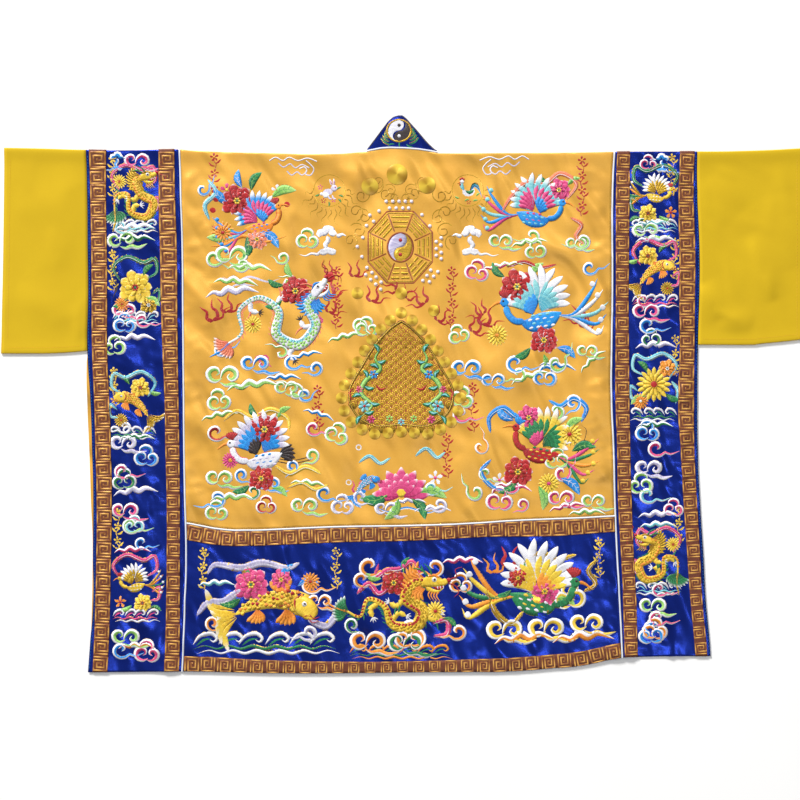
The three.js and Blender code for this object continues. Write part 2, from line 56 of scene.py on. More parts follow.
# %% Lines that run down and across
CLOTH = 1.5  # one layer of satin in the solids
SEAM = 0.3
RIBBON = 1.0
UPPER_FACE = 2 * CLOTH + SEAM  # outer face of the back layer, where it lies flat
PIPING_ROOM = 2.5  # from the middle of a piped seam to a panel's edge
NECK_HALF, NECK_FADE = 86, 29
SHOULDER_ROLL, SHOULDER_REACH = 3.4, 24
SLEEVE_ROLL, SLEEVE_REACH = 2.4, 20
FOLD_START = 45
COLLAR_CROWN = 1.2

DOWN_NAMES = (
    "leftEdge leftOuterA leftOuterB leftInnerA leftInnerB leftPiping "
    "rightPiping rightInnerA rightInnerB rightOuterA rightOuterB rightEdge"
).split()
DOWN = [
    (590, -758, -751, -709, -584, -546, -534, 510, 516, 547, 667, 702, 708),
    (467, -755, -748, -710, -584, -544, -530, 505, 513, 546, 663, 700, 709),
    (347, -754, -746, -708, -581, -540, -527, 505, 513, 545, 665, 704, 714),
    (227, -753, -745, -707, -579, -539, -526, 505, 513, 544, 665, 703, 713),
    (107, -755, -744, -707, -575, -538, -525, 503, 512, 545, 666, 702, 710),
    (-13, -748, -739, -702, -570, -536, -524, 503, 512, 546, 662, 701, 709),
    (-133, -744, -736, -698, -568, -534, -523, 508, 516, 548, 668, 702, 710),
    (-253, -741, -733, -696, -565, -533, -521, 511, 518, 551, 675, 708, 715),
    (-397, -742, -734, -698, -565, -533, -518, 517, 526, 557, 685, 716, 724),
    (-493, -741, -736, -700, -566, -533, -521, 522, 530, 562, 692, 721, 729),
    (-589, -748, -739, -703, -568, -533, -524, 527, 533, 565, 701, 730, 738),
    (-671, -754, -743, -707, -571, -535, -528, 529, 536, 568, 707, 736, 743),
]
FRONT_EDGES = [
    (590, -757, 707), (467, -754, 708), (347, -753, 713), (227, -752, 712), (107, -754, 709),
    (80, -757, 706), (-13, -756, 704), (-133, -751, 705), (-253, -747, 710), (-397, -743, 718),
    (-671, -750, 738),
]
SHOULDER = [
    (-962, 592), (-860, 590), (-758, 587), (-646, 586), (-538, 588), (-506, 585), (-326, 579),
    (-156, 577), (-86, 581.5), (86, 578.5), (230, 579), (398, 580), (506, 582), (607, 583),
    (708, 583), (842, 585), (962, 591),
]
NECKLINE = [
    (-86, 584), (-66, 588), (-44, 591.5), (-12, 592), (25, 590), (56, 586.5), (86, 581),
]
HEM = [  # x, then the piping, both edges of the ribbons that face the panel, and the foot
    (-760, -309, -349, -628, -667), (-530, -309, -349, -628, -665), (-490, -314, -354, -629, -665),
    (-439, -323, -361, -631, -666), (-377, -326, -363, -635, -667.5),
    (-300, -324, -361, -638, -669), (-156, -318, -355, -641, -669), (19, -315, -351, -640, -667),
    (178, -309, -343, -635, -666), (252, -304, -341, -632, -665), (362, -299, -340, -624, -657),
    (437, -296, -335, -615, -650), (509, -292, -330, -599, -635), (566, -290, -329, -594, -630),
    (750, -289, -328, -592, -628),
]
COLLAR_PEAK = [
    (-86, 585), (-79, 594), (-58, 622), (-42, 643), (-26, 661.5), (-12, 668.5), (-4, 669.5),
    (4, 667.5), (22, 649), (40, 629), (57, 609), (72, 594), (86, 582),
]
CUFFS = [(600, -954, 962), (350, -957, 962), (100, -962, 962)]
SLEEVE_FOOT = [
    (-962, 98), (-888, 98), (-829, 99), (-770, 103), (-750, 105),
    (700, 119), (847, 119), (859, 121), (910, 126), (962, 132),
]


def shifted(line, step):
    return lambda at: line(at) + step


def smooth(share):
    share = np.clip(share, 0, 1)
    return share * share * (3 - 2 * share)


def smooth_line(rows, column=1):
    """A smooth curve through the rows, straight on past both ends."""
    station, value = np.array([(row[0], row[column]) for row in sorted(rows)], float).T
    ends = np.arange(len(station))
    before, after = np.maximum(ends - 1, 0), np.minimum(ends + 1, len(station) - 1)
    slope = (value[after] - value[before]) / (station[after] - station[before])

    def line(at):
        at = np.asarray(at, float)
        k = np.clip(np.searchsorted(station, at) - 1, 0, len(station) - 2)
        span = station[k + 1] - station[k]
        t = (at - station[k]) / span
        start = value[k] + t * span * slope[k]
        end = value[k + 1] - (1 - t) * span * slope[k + 1]
        inside = start + (end - start) * smooth(t)
        low = value[0] + slope[0] * (at - station[0])
        high = value[-1] + slope[-1] * (at - station[-1])
        return np.where(at < station[0], low, np.where(at > station[-1], high, inside))

    return line


down = {name: smooth_line(DOWN, k + 1) for k, name in enumerate(DOWN_NAMES)}
front_edge = {side: smooth_line(FRONT_EDGES, k) for side, k in (("left", 1), ("right", 2))}
cuff = {side: smooth_line(CUFFS, k) for side, k in (("left", 1), ("right", 2))}
shoulder_line, neck_line, collar_peak, sleeve_foot = (
    smooth_line(rows) for rows in (SHOULDER, NECKLINE, COLLAR_PEAK, SLEEVE_FOOT))
hem_piping, upper_ribbon_foot, lower_ribbon_head, hem_foot = (
    smooth_line(HEM, column) for column in (1, 2, 3, 4))


collar_foot = shifted(neck_line, PIPING_ROOM)
NECK_EDGE = NECK_HALF - PIPING_ROOM


def collar_top(x):
    return np.maximum(collar_peak(x), collar_foot(x) + PIPING_ROOM)


def back_top(x):
    """The back layer's upper edge: the shoulder roll, or the piped neck seam."""
    return np.where(np.abs(x) < NECK_HALF, neck_line(x) - PIPING_ROOM, shoulder_line(x))


def roll_share(x):
    """1 where the cloth rolls over the shoulder, 0 across the neck."""
    return smooth((np.abs(x) - NECK_HALF + NECK_FADE) / NECK_FADE)


print("lines:", len(down), "down,", "hem foot at the middle is", round(float(hem_foot(0)), 1))

# %% [markdown]
# ## Folds
# Satin that was folded away keeps soft ridges. The largest are those of the solids, each from one
# point to another with its own width and rise. Sharper creases, given one by one, come on top, and
# then puckers, drawn at random from one seed, where the embroidery and the seams pull the satin
# together.

# %% Folds and puckers
FOLDS = [  # x1, y1, x2, y2, half width, rise
    (-84, 570, -150, 420, 28, 3), (88, 566, 120, 430, 26, 3.2), (-260, 510, -200, 380, 40, 1.8),
    (230, 540, 190, 400, 38, 1.8), (-505, 560, -512, 380, 30, 3.4), (-500, 380, -420, 300, 30, 2.6),
    (-515, 250, -400, 180, 32, 2.4), (-512, 110, -440, 20, 32, 2.8),
    (-505, -20, -450, -110, 30, 3.2), (-500, -150, -380, -230, 32, 2.4),
    (370, 560, 470, 420, 34, 3), (490, 500, 415, 380, 30, 2.8), (495, 350, 440, 270, 30, 3),
    (495, 240, 420, 180, 30, 2.6), (490, 110, 430, 60, 30, 3), (498, -20, 400, -80, 32, 2.4),
    (500, -140, 440, -230, 30, 2.6), (-300, 60, -170, 20, 38, 1.8),
    (-190, -110, -110, -170, 36, 2.6), (-60, -60, 60, -90, 40, 1.8),
    (150, -130, 230, -230, 36, 2.4), (-500, -365, -410, -490, 26, 4),
    (-470, -340, -330, -400, 26, 3.2), (-380, -440, -290, -560, 32, 2.6),
    (-150, -370, -90, -450, 30, 3), (-110, -560, -20, -500, 30, 2.4), (120, -360, 180, -470, 30, 3),
    (250, -350, 330, -430, 30, 2.8), (470, -340, 400, -480, 30, 3), (490, -470, 430, -590, 30, 2.6),
    (150, -520, 260, -600, 32, 2.2), (-700, 510, -590, 460, 30, 2), (-590, 330, -700, 260, 30, 2.2),
    (-700, 130, -600, 60, 30, 2.4), (-590, -90, -700, -160, 30, 2.2),
    (-700, -300, -590, -390, 30, 2.6), (-590, -520, -700, -590, 30, 2.4),
    (540, 510, 670, 440, 30, 2.2), (680, 300, 560, 230, 30, 2.2), (540, 90, 670, 30, 30, 2.4),
    (690, -110, 560, -190, 30, 2.4), (560, -330, 690, -400, 30, 2.6),
    (690, -500, 570, -580, 30, 2.4), (-930, 470, -800, 440, 40, 1.8),
    (-800, 560, -820, 300, 40, 1.8), (-930, 250, -790, 180, 36, 2), (720, 265, 770, 180, 28, 3.2),
    (765, 190, 845, 165, 26, 2.6), (835, 385, 895, 225, 32, 3), (900, 480, 940, 300, 36, 2),
    (740, 520, 820, 440, 40, 1.8),
]
CREASES = [  # the same columns: narrower and sharper than the folds
    (-92, 578, -118, 500, 7, 1.6), (-70, 582, -88, 520, 6, 1), (96, 574, 108, 500, 7, 1.6),
    (86, 560, 96, 470, 6, 1.2), (74, 580, 82, 540, 5, 0.9), (-500, 540, -522, 470, 9, 1.8),
    (-512, 455, -490, 380, 8, 1.4), (-508, 330, -470, 300, 8, 1.3), (-512, 228, -480, 206, 8, 1.2),
    (-505, 60, -440, -20, 9, 1.4), (-498, -30, -440, -95, 8, 1.6), (-490, -60, -455, -120, 7, 1.2),
    (-500, -205, -430, -232, 8, 1.1), (400, 545, 470, 450, 11, 1.4), (440, 560, 496, 492, 9, 1.5),
    (496, 455, 440, 432, 8, 1.3), (498, 372, 448, 340, 8, 1.5), (500, 262, 458, 232, 8, 1.3),
    (497, 155, 450, 128, 8, 1.5), (495, 38, 440, 12, 8, 1.3), (500, -60, 420, -95, 9, 1.2),
    (503, -180, 450, -215, 8, 1.3), (-215, -88, -140, -160, 10, 1.2),
    (-170, -130, -120, -205, 9, 1.1), (185, -150, 225, -225, 9, 1.1),
    (-75, -232, 10, -262, 10, 0.9), (60, 95, 110, 40, 10, 0.9), (-505, -352, -430, -395, 7, 1.9),
    (-510, -385, -455, -470, 8, 2), (-460, -372, -400, -440, 8, 1.6),
    (-498, -440, -440, -560, 9, 1.7), (-350, -372, -300, -420, 7, 1.5),
    (-245, -372, -205, -450, 8, 1.4), (-120, -366, -80, -420, 7, 1.5),
    (120, -352, 170, -430, 8, 1.6), (180, -350, 215, -410, 7, 1.3), (262, -350, 330, -405, 7, 1.4),
    (400, -350, 350, -450, 9, 1.4), (480, -345, 440, -430, 9, 1.7), (505, -400, 455, -520, 9, 1.6),
    (500, -520, 430, -590, 9, 1.5), (60, -600, 150, -560, 9, 1.2), (-160, -615, -60, -580, 9, 1.2),
    (-930, 585, -900, 470, 18, 1), (-780, 200, -770, 108, 10, 1.4), (716, 262, 748, 205, 8, 1.8),
    (748, 205, 812, 172, 8, 1.6), (836, 372, 868, 290, 9, 1.4), (868, 290, 892, 226, 8, 1.6),
    (722, 520, 742, 420, 12, 1), (905, 560, 930, 430, 16, 1),
]
PUCKERS = [  # x from and to, y from and to, how many, turn and its spread, half width, rise
    (-515, 500, -300, 560, 150, 20, 90, 8, 0.55), (-525, -440, -300, 560, 60, 15, 35, 6, 0.9),
    (430, 505, -300, 560, 60, -20, 35, 6, 0.9), (-515, 515, -620, -350, 120, -55, 45, 6, 0.95),
    (-515, 515, -400, -350, 70, 90, 25, 4.5, 0.8), (-704, -580, -650, 570, 110, 35, 60, 5.5, 0.75),
    (550, 680, -620, 570, 110, -35, 60, 5.5, 0.75), (-950, -765, 120, 570, 10, 60, 50, 14, 0.5),
    (720, 950, 150, 570, 16, -60, 50, 13, 0.6), (-515, 505, -290, 560, 80, -40, 60, 22, 2.6),
    (-515, 515, -620, -350, 130, -55, 35, 11, 3.4), (-704, -580, -650, 570, 90, -60, 50, 10, 2.6),
    (550, 680, -620, 570, 90, -60, 50, 10, 2.6),
]
FOLD_SHARE = 1.8  # how much sharper the visible satin folds than its solid
FOLD_LIMIT = 8.5  # where ridges cross, their sum stays under this
PUCKER_SEED = 11


def random_ridges():
    dice = np.random.default_rng(PUCKER_SEED)
    rows = []
    for x1, x2, y1, y2, count, turn, spread, half, rise in PUCKERS:
        for _ in range(count):
            x, y = dice.uniform(x1, x2), dice.uniform(y1, y2)
            angle = math.radians(turn + spread * dice.uniform(-1, 1))
            length = half * dice.uniform(4, 11)
            dx, dy = length * math.cos(angle) / 2, length * math.sin(angle) / 2
            size = dice.uniform(0.7, 1.5)
            height = rise * dice.uniform(0.3, 1.3)
            rows.append((x - dx, y - dy, x + dx, y + dy, half * size, height))
    return rows


def ridges(rows, x, y):
    """The summed height of soft ridges; each fades at both ends."""
    height = np.zeros_like(x)
    for x1, y1, x2, y2, half, rise in rows:
        reach = 2.6 * half
        near = np.flatnonzero(
            (x > min(x1, x2) - reach) & (x < max(x1, x2) + reach)
            & (y > min(y1, y2) - reach) & (y < max(y1, y2) + reach)
        )
        length = math.hypot(x2 - x1, y2 - y1)
        ux, uy = (x2 - x1) / length, (y2 - y1) / length
        along = ((x[near] - x1) * ux + (y[near] - y1) * uy) / length
        across = (y[near] - y1) * ux - (x[near] - x1) * uy
        bump = np.sin(np.pi * np.clip(along, 0, 1)) * np.exp(-((across / half) ** 2))
        height[near] += rise * bump
    return height


ALL_RIDGES = FOLDS + CREASES + random_ridges()


def lift_slow(x, y):
    from_edge = np.maximum(back_top(x) - y - SHOULDER_ROLL, 0)
    roll = (2 * SHOULDER_ROLL - UPPER_FACE) * roll_share(x)
    fold = FOLD_LIMIT * np.tanh(FOLD_SHARE * ridges(ALL_RIDGES, x, y) / FOLD_LIMIT)
    fold *= smooth(from_edge / FOLD_START)
    return roll * np.exp(-((from_edge / SHOULDER_REACH) ** 2)) + fold


# The folds are worked out once on a fine raster; everything laid on the cloth reads it.
RASTER = 3.0
raster_x = np.arange(-972, 973, RASTER)
raster_y = np.arange(-684, 604, RASTER)
lift_raster = lift_slow(*(a.ravel() for a in np.meshgrid(raster_x, raster_y)))
lift_raster = lift_raster.reshape(len(raster_y), len(raster_x))


def lift(x, y):
    """How far the back layer stands above the plane where it would lie flat."""
    u = np.clip((x - raster_x[0]) / RASTER, 0, len(raster_x) - 1.001)
    v = np.clip((y - raster_y[0]) / RASTER, 0, len(raster_y) - 1.001)
    i, j = u.astype(int), v.astype(int)
    a, b = u - i, v - j
    low = lift_raster[j, i] * (1 - a) + lift_raster[j, i + 1] * a
    high = lift_raster[j + 1, i] * (1 - a) + lift_raster[j + 1, i + 1] * a
    return low * (1 - b) + high * b


def collar_crown(x, y):
    """The collar's peak is a little padded: 0 at its edges, highest in its middle."""
    share = np.clip((y - collar_foot(x)) / (collar_top(x) - collar_foot(x)), 0, 1)
    return COLLAR_CROWN * np.sin(np.pi * share) * np.maximum(1 - (x / NECK_EDGE) ** 2, 0)


def face(x, y):
    """Height of the outer face: the back layer, or the collar's peak above it."""
    return UPPER_FACE + np.where(y > back_top(x), collar_crown(x, y), lift(x, y))


print("folds:", len(FOLDS), "creases:", len(CREASES), "highest", round(lift_raster.max(), 1), "mm")

# %% [markdown]
# ## Making a mesh
# Every piece is a mesh in metres whose object stays at the origin, made from points in
# millimetres. `wall` gives each panel its thickness: it closes two grids of points into a
# thin sheet of cloth with a rim.

# %% Mesh helpers
looks = {}  # the material of each slot


def new_object(name, points, edges=(), faces=(), **values):
    """An object from points in millimetres; the values are attributes of its points."""
    mesh = bpy.data.meshes.new(name)
    mesh.from_pydata((np.asarray(points, float) * MM).tolist(), edges, faces)
    mesh.polygons.foreach_set("use_smooth", [True] * len(mesh.polygons))
    for key, column in values.items():
        mesh.attributes.new(key, "FLOAT", "POINT").data.foreach_set("value", column)
    made = bpy.data.objects.new(name, mesh)
    scene.collection.objects.link(made)
    return made


def dress(piece, replaces=()):
    """Every piece rides on the robe's one body, and the frame's parts that it replaces are hidden.
    """
    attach(piece, "root")
    if replaces:
        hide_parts(*replaces)
    return piece


def add_mesh(name, points, faces, slot, replaces=(), uv=None, **values):
    piece = new_object(name, points, (), faces.tolist(), **values)
    if uv is not None:
        corner = np.zeros(len(piece.data.loops), int)
        piece.data.loops.foreach_get("vertex_index", corner)
        piece.data.uv_layers.new(name="weave").data.foreach_set("uv", uv[corner].ravel())
    piece.data.materials.append(looks[slot])
    return dress(piece, replaces)


def xyz(x, y, z):
    """Points from three coordinates, each an array or one value for all."""
    return np.stack(np.broadcast_arrays(x, y, z), -1)


def grid_faces(rows, columns, start=0, turned=False, wrap=False):
    """Quads over a grid of points: `columns` points in each of `rows` rows."""
    j, i = np.meshgrid(np.arange(rows - 1), np.arange(columns - (not wrap)), indexing="ij")
    a = start + j * columns + i
    b = start + j * columns + (i + 1) % columns
    quads = np.stack([a, a + columns, b + columns, b], -1).reshape(-1, 4)
    return quads[:, ::-1] if turned else quads


def wall(outer, inner):
    """Points and faces of a thin sheet from two grids of points, shaped (rows, columns, 3)."""
    rows, columns = outer.shape[:2]
    count = rows * columns
    ring = np.concatenate([
        np.arange(columns),
        np.arange(1, rows) * columns + columns - 1,
        (rows - 1) * columns + np.arange(columns - 2, -1, -1),
        np.arange(rows - 2, 0, -1) * columns,
    ])
    after = np.roll(ring, -1)
    return np.concatenate([outer.reshape(-1, 3), inner.reshape(-1, 3)]), np.concatenate([
        grid_faces(rows, columns), grid_faces(rows, columns, count, turned=True),
        np.stack([ring, after, after + count, ring + count], -1)])


print("mesh helpers ready")

# %% [markdown]
# ## Satin, cloth and ribbon
# Satin is smooth one way and has fine floating threads the other way, so it gets a fine
# wave as bump, a soft sheen and colour that varies a little. The plain sleeve cloth is
# matt, with a fine crossed weave. Satin threads tint what they mirror, so part of their
# lustre is that of a metal. Values that are the same all over go straight on the
# shader's sockets; only what varies comes through nodes.

# %% Cloth materials


def srgb(*colour):
    """Linear colour from sRGB values of 0 to 255."""
    values = [c / 255 for c in colour]
    return [c / 12.92 if c <= 0.04045 else ((c + 0.055) / 1.055) ** 2.4 for c in values] + [1]


def feed(tree, socket, value):
    """Links a socket or a node's first output to an input, or sets a plain value on it."""
    value = value.outputs[0] if isinstance(value, bpy.types.Node) else value
    if isinstance(value, bpy.types.NodeSocket):
        tree.links.new(value, socket)
    else:
        socket.default_value = value


def add_node(tree, kind, *sources, **settings):
    """Adds a node. Sources feed its inputs in order, and a setting whose name has a capital
    feeds the input of that name. The other settings are the node's own options."""
    made = tree.nodes.new(kind)
    for key in [key for key in settings if key.islower()]:
        setattr(made, key, settings.pop(key))
    for key, value in [*enumerate(sources), *settings.items()]:
        feed(tree, made.inputs[key.replace("_", " ") if key in settings else key], value)
    return made


class Shader:
    """A new material, and short ways to add nodes to it."""

    def __init__(self, name, **values):
        self.material = bpy.data.materials.new(name)
        self.material.use_nodes = True
        self.tree = self.material.node_tree
        self.inputs = self.tree.nodes["Principled BSDF"].inputs
        for socket, value in values.items():
            self.inputs[socket.replace("_", " ")].default_value = value

    def node(self, kind, *sources, **settings):
        return add_node(self.tree, "ShaderNode" + kind, *sources, **settings)

    def place(self):
        return self.node("TexCoord").outputs["Object"]

    def mix(self, factor, first, second):
        """Colour from first to second by a factor."""
        made = self.node("Mix", factor, data_type="RGBA")
        feed(self.tree, made.inputs[6], first)
        feed(self.tree, made.inputs[7], second)
        return made.outputs[2]

    def paint(self, factor, first, second):
        feed(self.tree, self.inputs["Base Color"], self.mix(factor, first, second))

    def bump(self, height, strength, distance, **under):
        made = self.node("Bump", Strength=strength, Distance=distance, Height=height, **under)
        feed(self.tree, self.inputs["Normal"], made)
        return made


def cloth_material(name, shade, light, roughness, sheen, weave, strength, lustre=0, crinkle=0):
    """Woven cloth: a colour that varies softly, and fine crossed threads as bump.

    `crinkle` is the height in metres of the shallow creases too small for the mesh.
    """
    s = Shader(name, Roughness=roughness, Sheen_Weight=sheen, Sheen_Roughness=0.4, Metallic=lustre)
    place = s.place()
    blotch = s.node("TexNoise", place, Scale=14, Detail=3)
    fleck = s.node("TexNoise", place, Scale=420, Detail=2)
    share = s.node("Math", blotch, fleck, 0.18, operation="MULTIPLY_ADD")
    s.paint(share, srgb(*shade), srgb(*light))
    warp = s.node("TexWave", place, Scale=weave[0], Distortion=0.6)
    weft = s.node("TexWave", place, Scale=weave[1], Distortion=0.6, bands_direction="Y")
    under = {}
    if crinkle:
        turned = s.node("Mapping", place, vector_type="TEXTURE", Rotation=(0, 0, 0.5),
                        Scale=(0.075, 0.19, 1))
        creases = s.node("TexNoise", turned, Scale=1, Detail=1, Distortion=0.3)
        under = {"Normal": s.bump(creases, 1, crinkle)}
    s.bump(s.node("Math", warp.outputs[1], weft.outputs[1]), strength, 0.0003, **under)
    return s.material


looks["gold_satin"] = cloth_material(
    "gold satin", (226, 162, 56), (246, 193, 84), 0.46, 0.1, (260, 90), 0.12, 0.25, 0.034)
looks["blue_satin"] = cloth_material(
    "blue satin", (18, 36, 124), (34, 68, 200), 0.3, 0, (260, 90), 0.12, 0.8, 0.036)
looks["yellow_cloth"] = cloth_material(
    "yellow sleeve cloth", (203, 166, 0), (217, 182, 4), 0.9, 0, (190, 190), 0.2)
print("cloth materials:", *looks)

# %% [markdown]
# ## The panels of the back
# Each panel lies between two lines that run down and two that run across. The grid is
# found by going back and forth between the two kinds of line until they cross. At the
# shoulder the last rows bend round the soft roll, down to the seam with the fronts.

# %% Back panels
VISIBLE_CLOTH = 0.9  # wall of the visible sheets, thinner than their solids
CURL = (-20, -5, 10, 25, 40, 55, 72)  # degrees round the shoulder roll
FIELD_PITCH, BLUE_PITCH = 6.0, 5.5
SIDES = (("left", -1), ("right", 1))
SIDE_X = {"left": -640, "right": 600}  # where the rows of a side band are spaced


def spread(lines, pitch, at):
    """Places between neighbouring lines, so that cells are about `pitch` wide."""
    places = []
    for k, (line, after) in enumerate(zip(lines, lines[1:])):
        cells = max(1, round(abs(float(after(at)) - float(line(at))) / pitch))
        places += [k + cell / cells for cell in range(cells)]
    return places + [len(lines) - 1]


def between_lines(lines, place, at):
    """A line among the others: 1.5 is halfway from the second to the third."""
    k = min(int(place), len(lines) - 2)
    return lines[k](at) * (k + 1 - place) + lines[k + 1](at) * (place - k)


def plan_grid(columns, rows, pitch, at_x=0):
    """x and y where evenly spread columns and rows cross."""
    across, along = spread(columns, pitch, 0), spread(rows, pitch, at_x)
    y = np.zeros((len(along), len(across)))
    for _ in range(5):
        x = np.array([between_lines(columns, p, y[:, i]) for i, p in enumerate(across)]).T
        y = np.array([between_lines(rows, p, x[j]) for j, p in enumerate(along)])
    return x, y


def roll_at(top, degrees, out, roll=SHOULDER_ROLL, way=1):
    """y and z on a roll whose outermost line is `top`; `way` is -1 under the arm."""
    angle, radius = math.radians(degrees), roll + out
    return top - way * (roll - radius * math.cos(angle)), roll + radius * math.sin(angle)


def curled(x, out):
    """Rows of points that bend round the shoulder roll above the row x."""
    rows, share = [], roll_share(x)
    for k, degrees in enumerate(CURL):
        rolled_y, rolled_z = roll_at(back_top(x), degrees, out)
        flat_y = back_top(x) - SHOULDER_ROLL * k / len(CURL)
        rows.append(xyz(x, flat_y + (rolled_y - flat_y) * share,
                        UPPER_FACE + out + (rolled_z - UPPER_FACE - out) * share))
    return rows


def back_sheet(columns, rows, pitch, low, high, from_shoulder=True, at_x=0):
    """Outer and inner grids of a piece of the back, between `low` and `high` out of it."""
    x, y = plan_grid(columns, rows, pitch, at_x)
    return [np.concatenate([*([curled(x[0], out)] if from_shoulder else []),
                            xyz(x, y, face(x, y) + out)]) for out in (high, low)]


def add_sheet(name, grids, slot, replaces):
    points, faces = wall(*grids)
    piece = add_mesh(name, points, faces, slot, [replaces])
    return piece


below_shoulder = shifted(back_top, -SHOULDER_ROLL)
field_columns = [
    shifted(down["leftPiping"], PIPING_ROOM), shifted(down["rightPiping"], -PIPING_ROOM)]
field_rows = [below_shoulder, shifted(hem_piping, PIPING_ROOM)]
hem_rows = [shifted(hem_piping, -PIPING_ROOM), upper_ribbon_foot, lower_ribbon_head, hem_foot]
side_rows = [below_shoulder, *hem_rows[1:]]
side_columns = {
    "left": [down[n] for n in DOWN_NAMES[:5]] + [shifted(down["leftPiping"], -PIPING_ROOM)],
    "right": [shifted(down["rightPiping"], PIPING_ROOM)] + [down[n] for n in DOWN_NAMES[7:]],
}
grids = back_sheet(field_columns, field_rows, FIELD_PITCH, -VISIBLE_CLOTH, 0)
field = add_sheet("gold_field", grids, "gold_satin", "back_field")
grids = back_sheet(field_columns, hem_rows, BLUE_PITCH, -VISIBLE_CLOTH, 0, False)
add_sheet("hem_panel", grids, "blue_satin", "back_hem_panel")
side_bands = {}
for side, at_x in SIDE_X.items():
    grids = back_sheet(side_columns[side], side_rows, BLUE_PITCH, -VISIBLE_CLOTH, 0, at_x=at_x)
    side_bands[side] = add_sheet(
        f"{side}_band", grids, "blue_satin", f"side_band_{side}")

# %% [markdown]
# ## Fronts and collar bands
# The fronts lie flat on the surface under the back, so they can be plain sheets. Their upper
# edges bend up round the same roll to meet the back at the shoulder seam. The collar band
# runs up the middle of the front and folds over at a slant behind the neck.

# %% Fronts and collar
FRONT_SHORTER = 4
BAND_OUTER, BAND_GAP = 84, 0.15
FRONT_CURL = (-75, -60, -45, -28)  # degrees round the shoulder roll
FRONT_PITCH, BAND_PITCH = 18, 14
front_foot = shifted(hem_foot, FRONT_SHORTER)


def constant(value):
    return lambda at: np.full_like(np.asarray(at, float), value)


for side, sign in SIDES:
    edges = [front_edge[side], constant(sign * (BAND_OUTER + SEAM))][::-sign]
    x, y = plan_grid(
        edges, [front_foot, shifted(shoulder_line, -SHOULDER_ROLL)], FRONT_PITCH, sign * 300)
    top = shoulder_line(x[-1])
    grids = [np.concatenate([xyz(x, y, -out), [xyz(x[-1], *roll_at(top, turn, out))
                                               for turn in FRONT_CURL]])
             for out in (0, -VISIBLE_CLOTH)]
    add_sheet(f"{side}_front", grids, "gold_satin", f"front_{side}")
    x, y = plan_grid([constant(v) for v in sorted((sign * BAND_GAP, sign * BAND_OUTER))],
                     [front_foot, shifted(collar_peak, -1)], BAND_PITCH)
    add_sheet(f"{side}_collar_band", [xyz(x, y, z) for z in (0, VISIBLE_CLOTH)], "blue_satin",
              f"collar_front_{side}")

# %% Collar peak
COLLAR_PITCH = 3
x, y = plan_grid([constant(-NECK_EDGE), constant(NECK_EDGE)], [collar_top, collar_foot],
                 COLLAR_PITCH)
crown = UPPER_FACE + collar_crown(x, y)
add_sheet("collar_peak", [xyz(x, y, crown), xyz(x, y, crown - VISIBLE_CLOTH)], "blue_satin",
          "collar_back")

# %% [markdown]
# ## Sleeves
# A sleeve is a tube pressed flat. One row of the grid goes all the way round: over the
# shoulder roll, down the upper layer, round the roll under the arm, and back up the lower
# layer. The fold function lifts only the upper layer.

# %% Sleeves
SLEEVE_SHOULDER_CURL = (-90, -60, -30, 0, 30, 60)
SLEEVE_FOOT_CURL = (60, 30, 0, -30, -60, -90)
SLEEVE_ROWS, LOWER_ROWS, SLEEVE_PITCH = 64, 21, 8
SLEEVE_MIDDLE = 350  # height where a sleeve's width is measured


def sleeve_ring(x, out):
    """The points round a sleeve at the stations x, shaped (stations, around, 3)."""
    top, foot = shoulder_line(x), sleeve_foot(x)
    ring = [roll_at(top, turn, out) for turn in SLEEVE_SHOULDER_CURL]
    for k in range(SLEEVE_ROWS + 1):
        y = top - SHOULDER_ROLL + (foot - top + SHOULDER_ROLL + SLEEVE_ROLL) * k / SLEEVE_ROWS
        from_foot = np.maximum(y - foot - SLEEVE_ROLL, 0)
        rise = (2 * SLEEVE_ROLL - UPPER_FACE) * np.exp(-((from_foot / SLEEVE_REACH) ** 2))
        ring.append((y, UPPER_FACE + rise + lift(x, y) * smooth(from_foot / FOLD_START) + out))
    ring += [roll_at(foot, turn, out, SLEEVE_ROLL, -1) for turn in SLEEVE_FOOT_CURL]
    for share in np.arange(1, LOWER_ROWS) / LOWER_ROWS:
        ring.append((foot + SLEEVE_ROLL + (top - SHOULDER_ROLL - foot - SLEEVE_ROLL) * share, -out))
    return np.stack([xyz(x, y, z) for y, z in ring], 1)


sleeves = {}
for side, sign in SIDES:
    lines = (cuff[side], shifted(down[f"{side}Edge"], sign * SEAM))[::-sign]
    start, stop = (float(line(SLEEVE_MIDDLE)) for line in lines)
    share = np.linspace(0, 1, round((stop - start) / SLEEVE_PITCH) + 1)
    grids = []
    for out in (0, -VISIBLE_CLOTH):
        ring = sleeve_ring(start + (stop - start) * share, out)
        for _ in range(2):  # bend the ends to the cuff's and the armhole's own lines
            starts, ends = (line(ring[:, :, 1]) for line in lines)
            ring[:, :, 0] = starts + (ends - starts) * share[:, None]
        grids.append(ring)
    along, around = grids[0].shape[:2]
    count = along * around
    edge, after = np.arange(around), np.roll(np.arange(around), -1)
    last, last_after = edge + count - around, after + count - around
    faces = np.concatenate([
        grid_faces(along, around, 0, True, True), grid_faces(along, around, count, False, True),
        np.stack([after, edge, edge + count, after + count], -1),
        np.stack([last, last_after, last_after + count, last + count], -1)])
    points = np.concatenate([grid.reshape(-1, 3) for grid in grids])
    sleeves[side] = add_mesh(f"{side}_sleeve", points, faces, "yellow_cloth", [f"sleeve_{side}"])

# %% [markdown]
# ## Ribbons
# The woven ribbon is sewn on top of the blue satin, so it is made from the same grid,
# moved out. Its ground is red-brown with fine cross threads; the gold fret comes after.

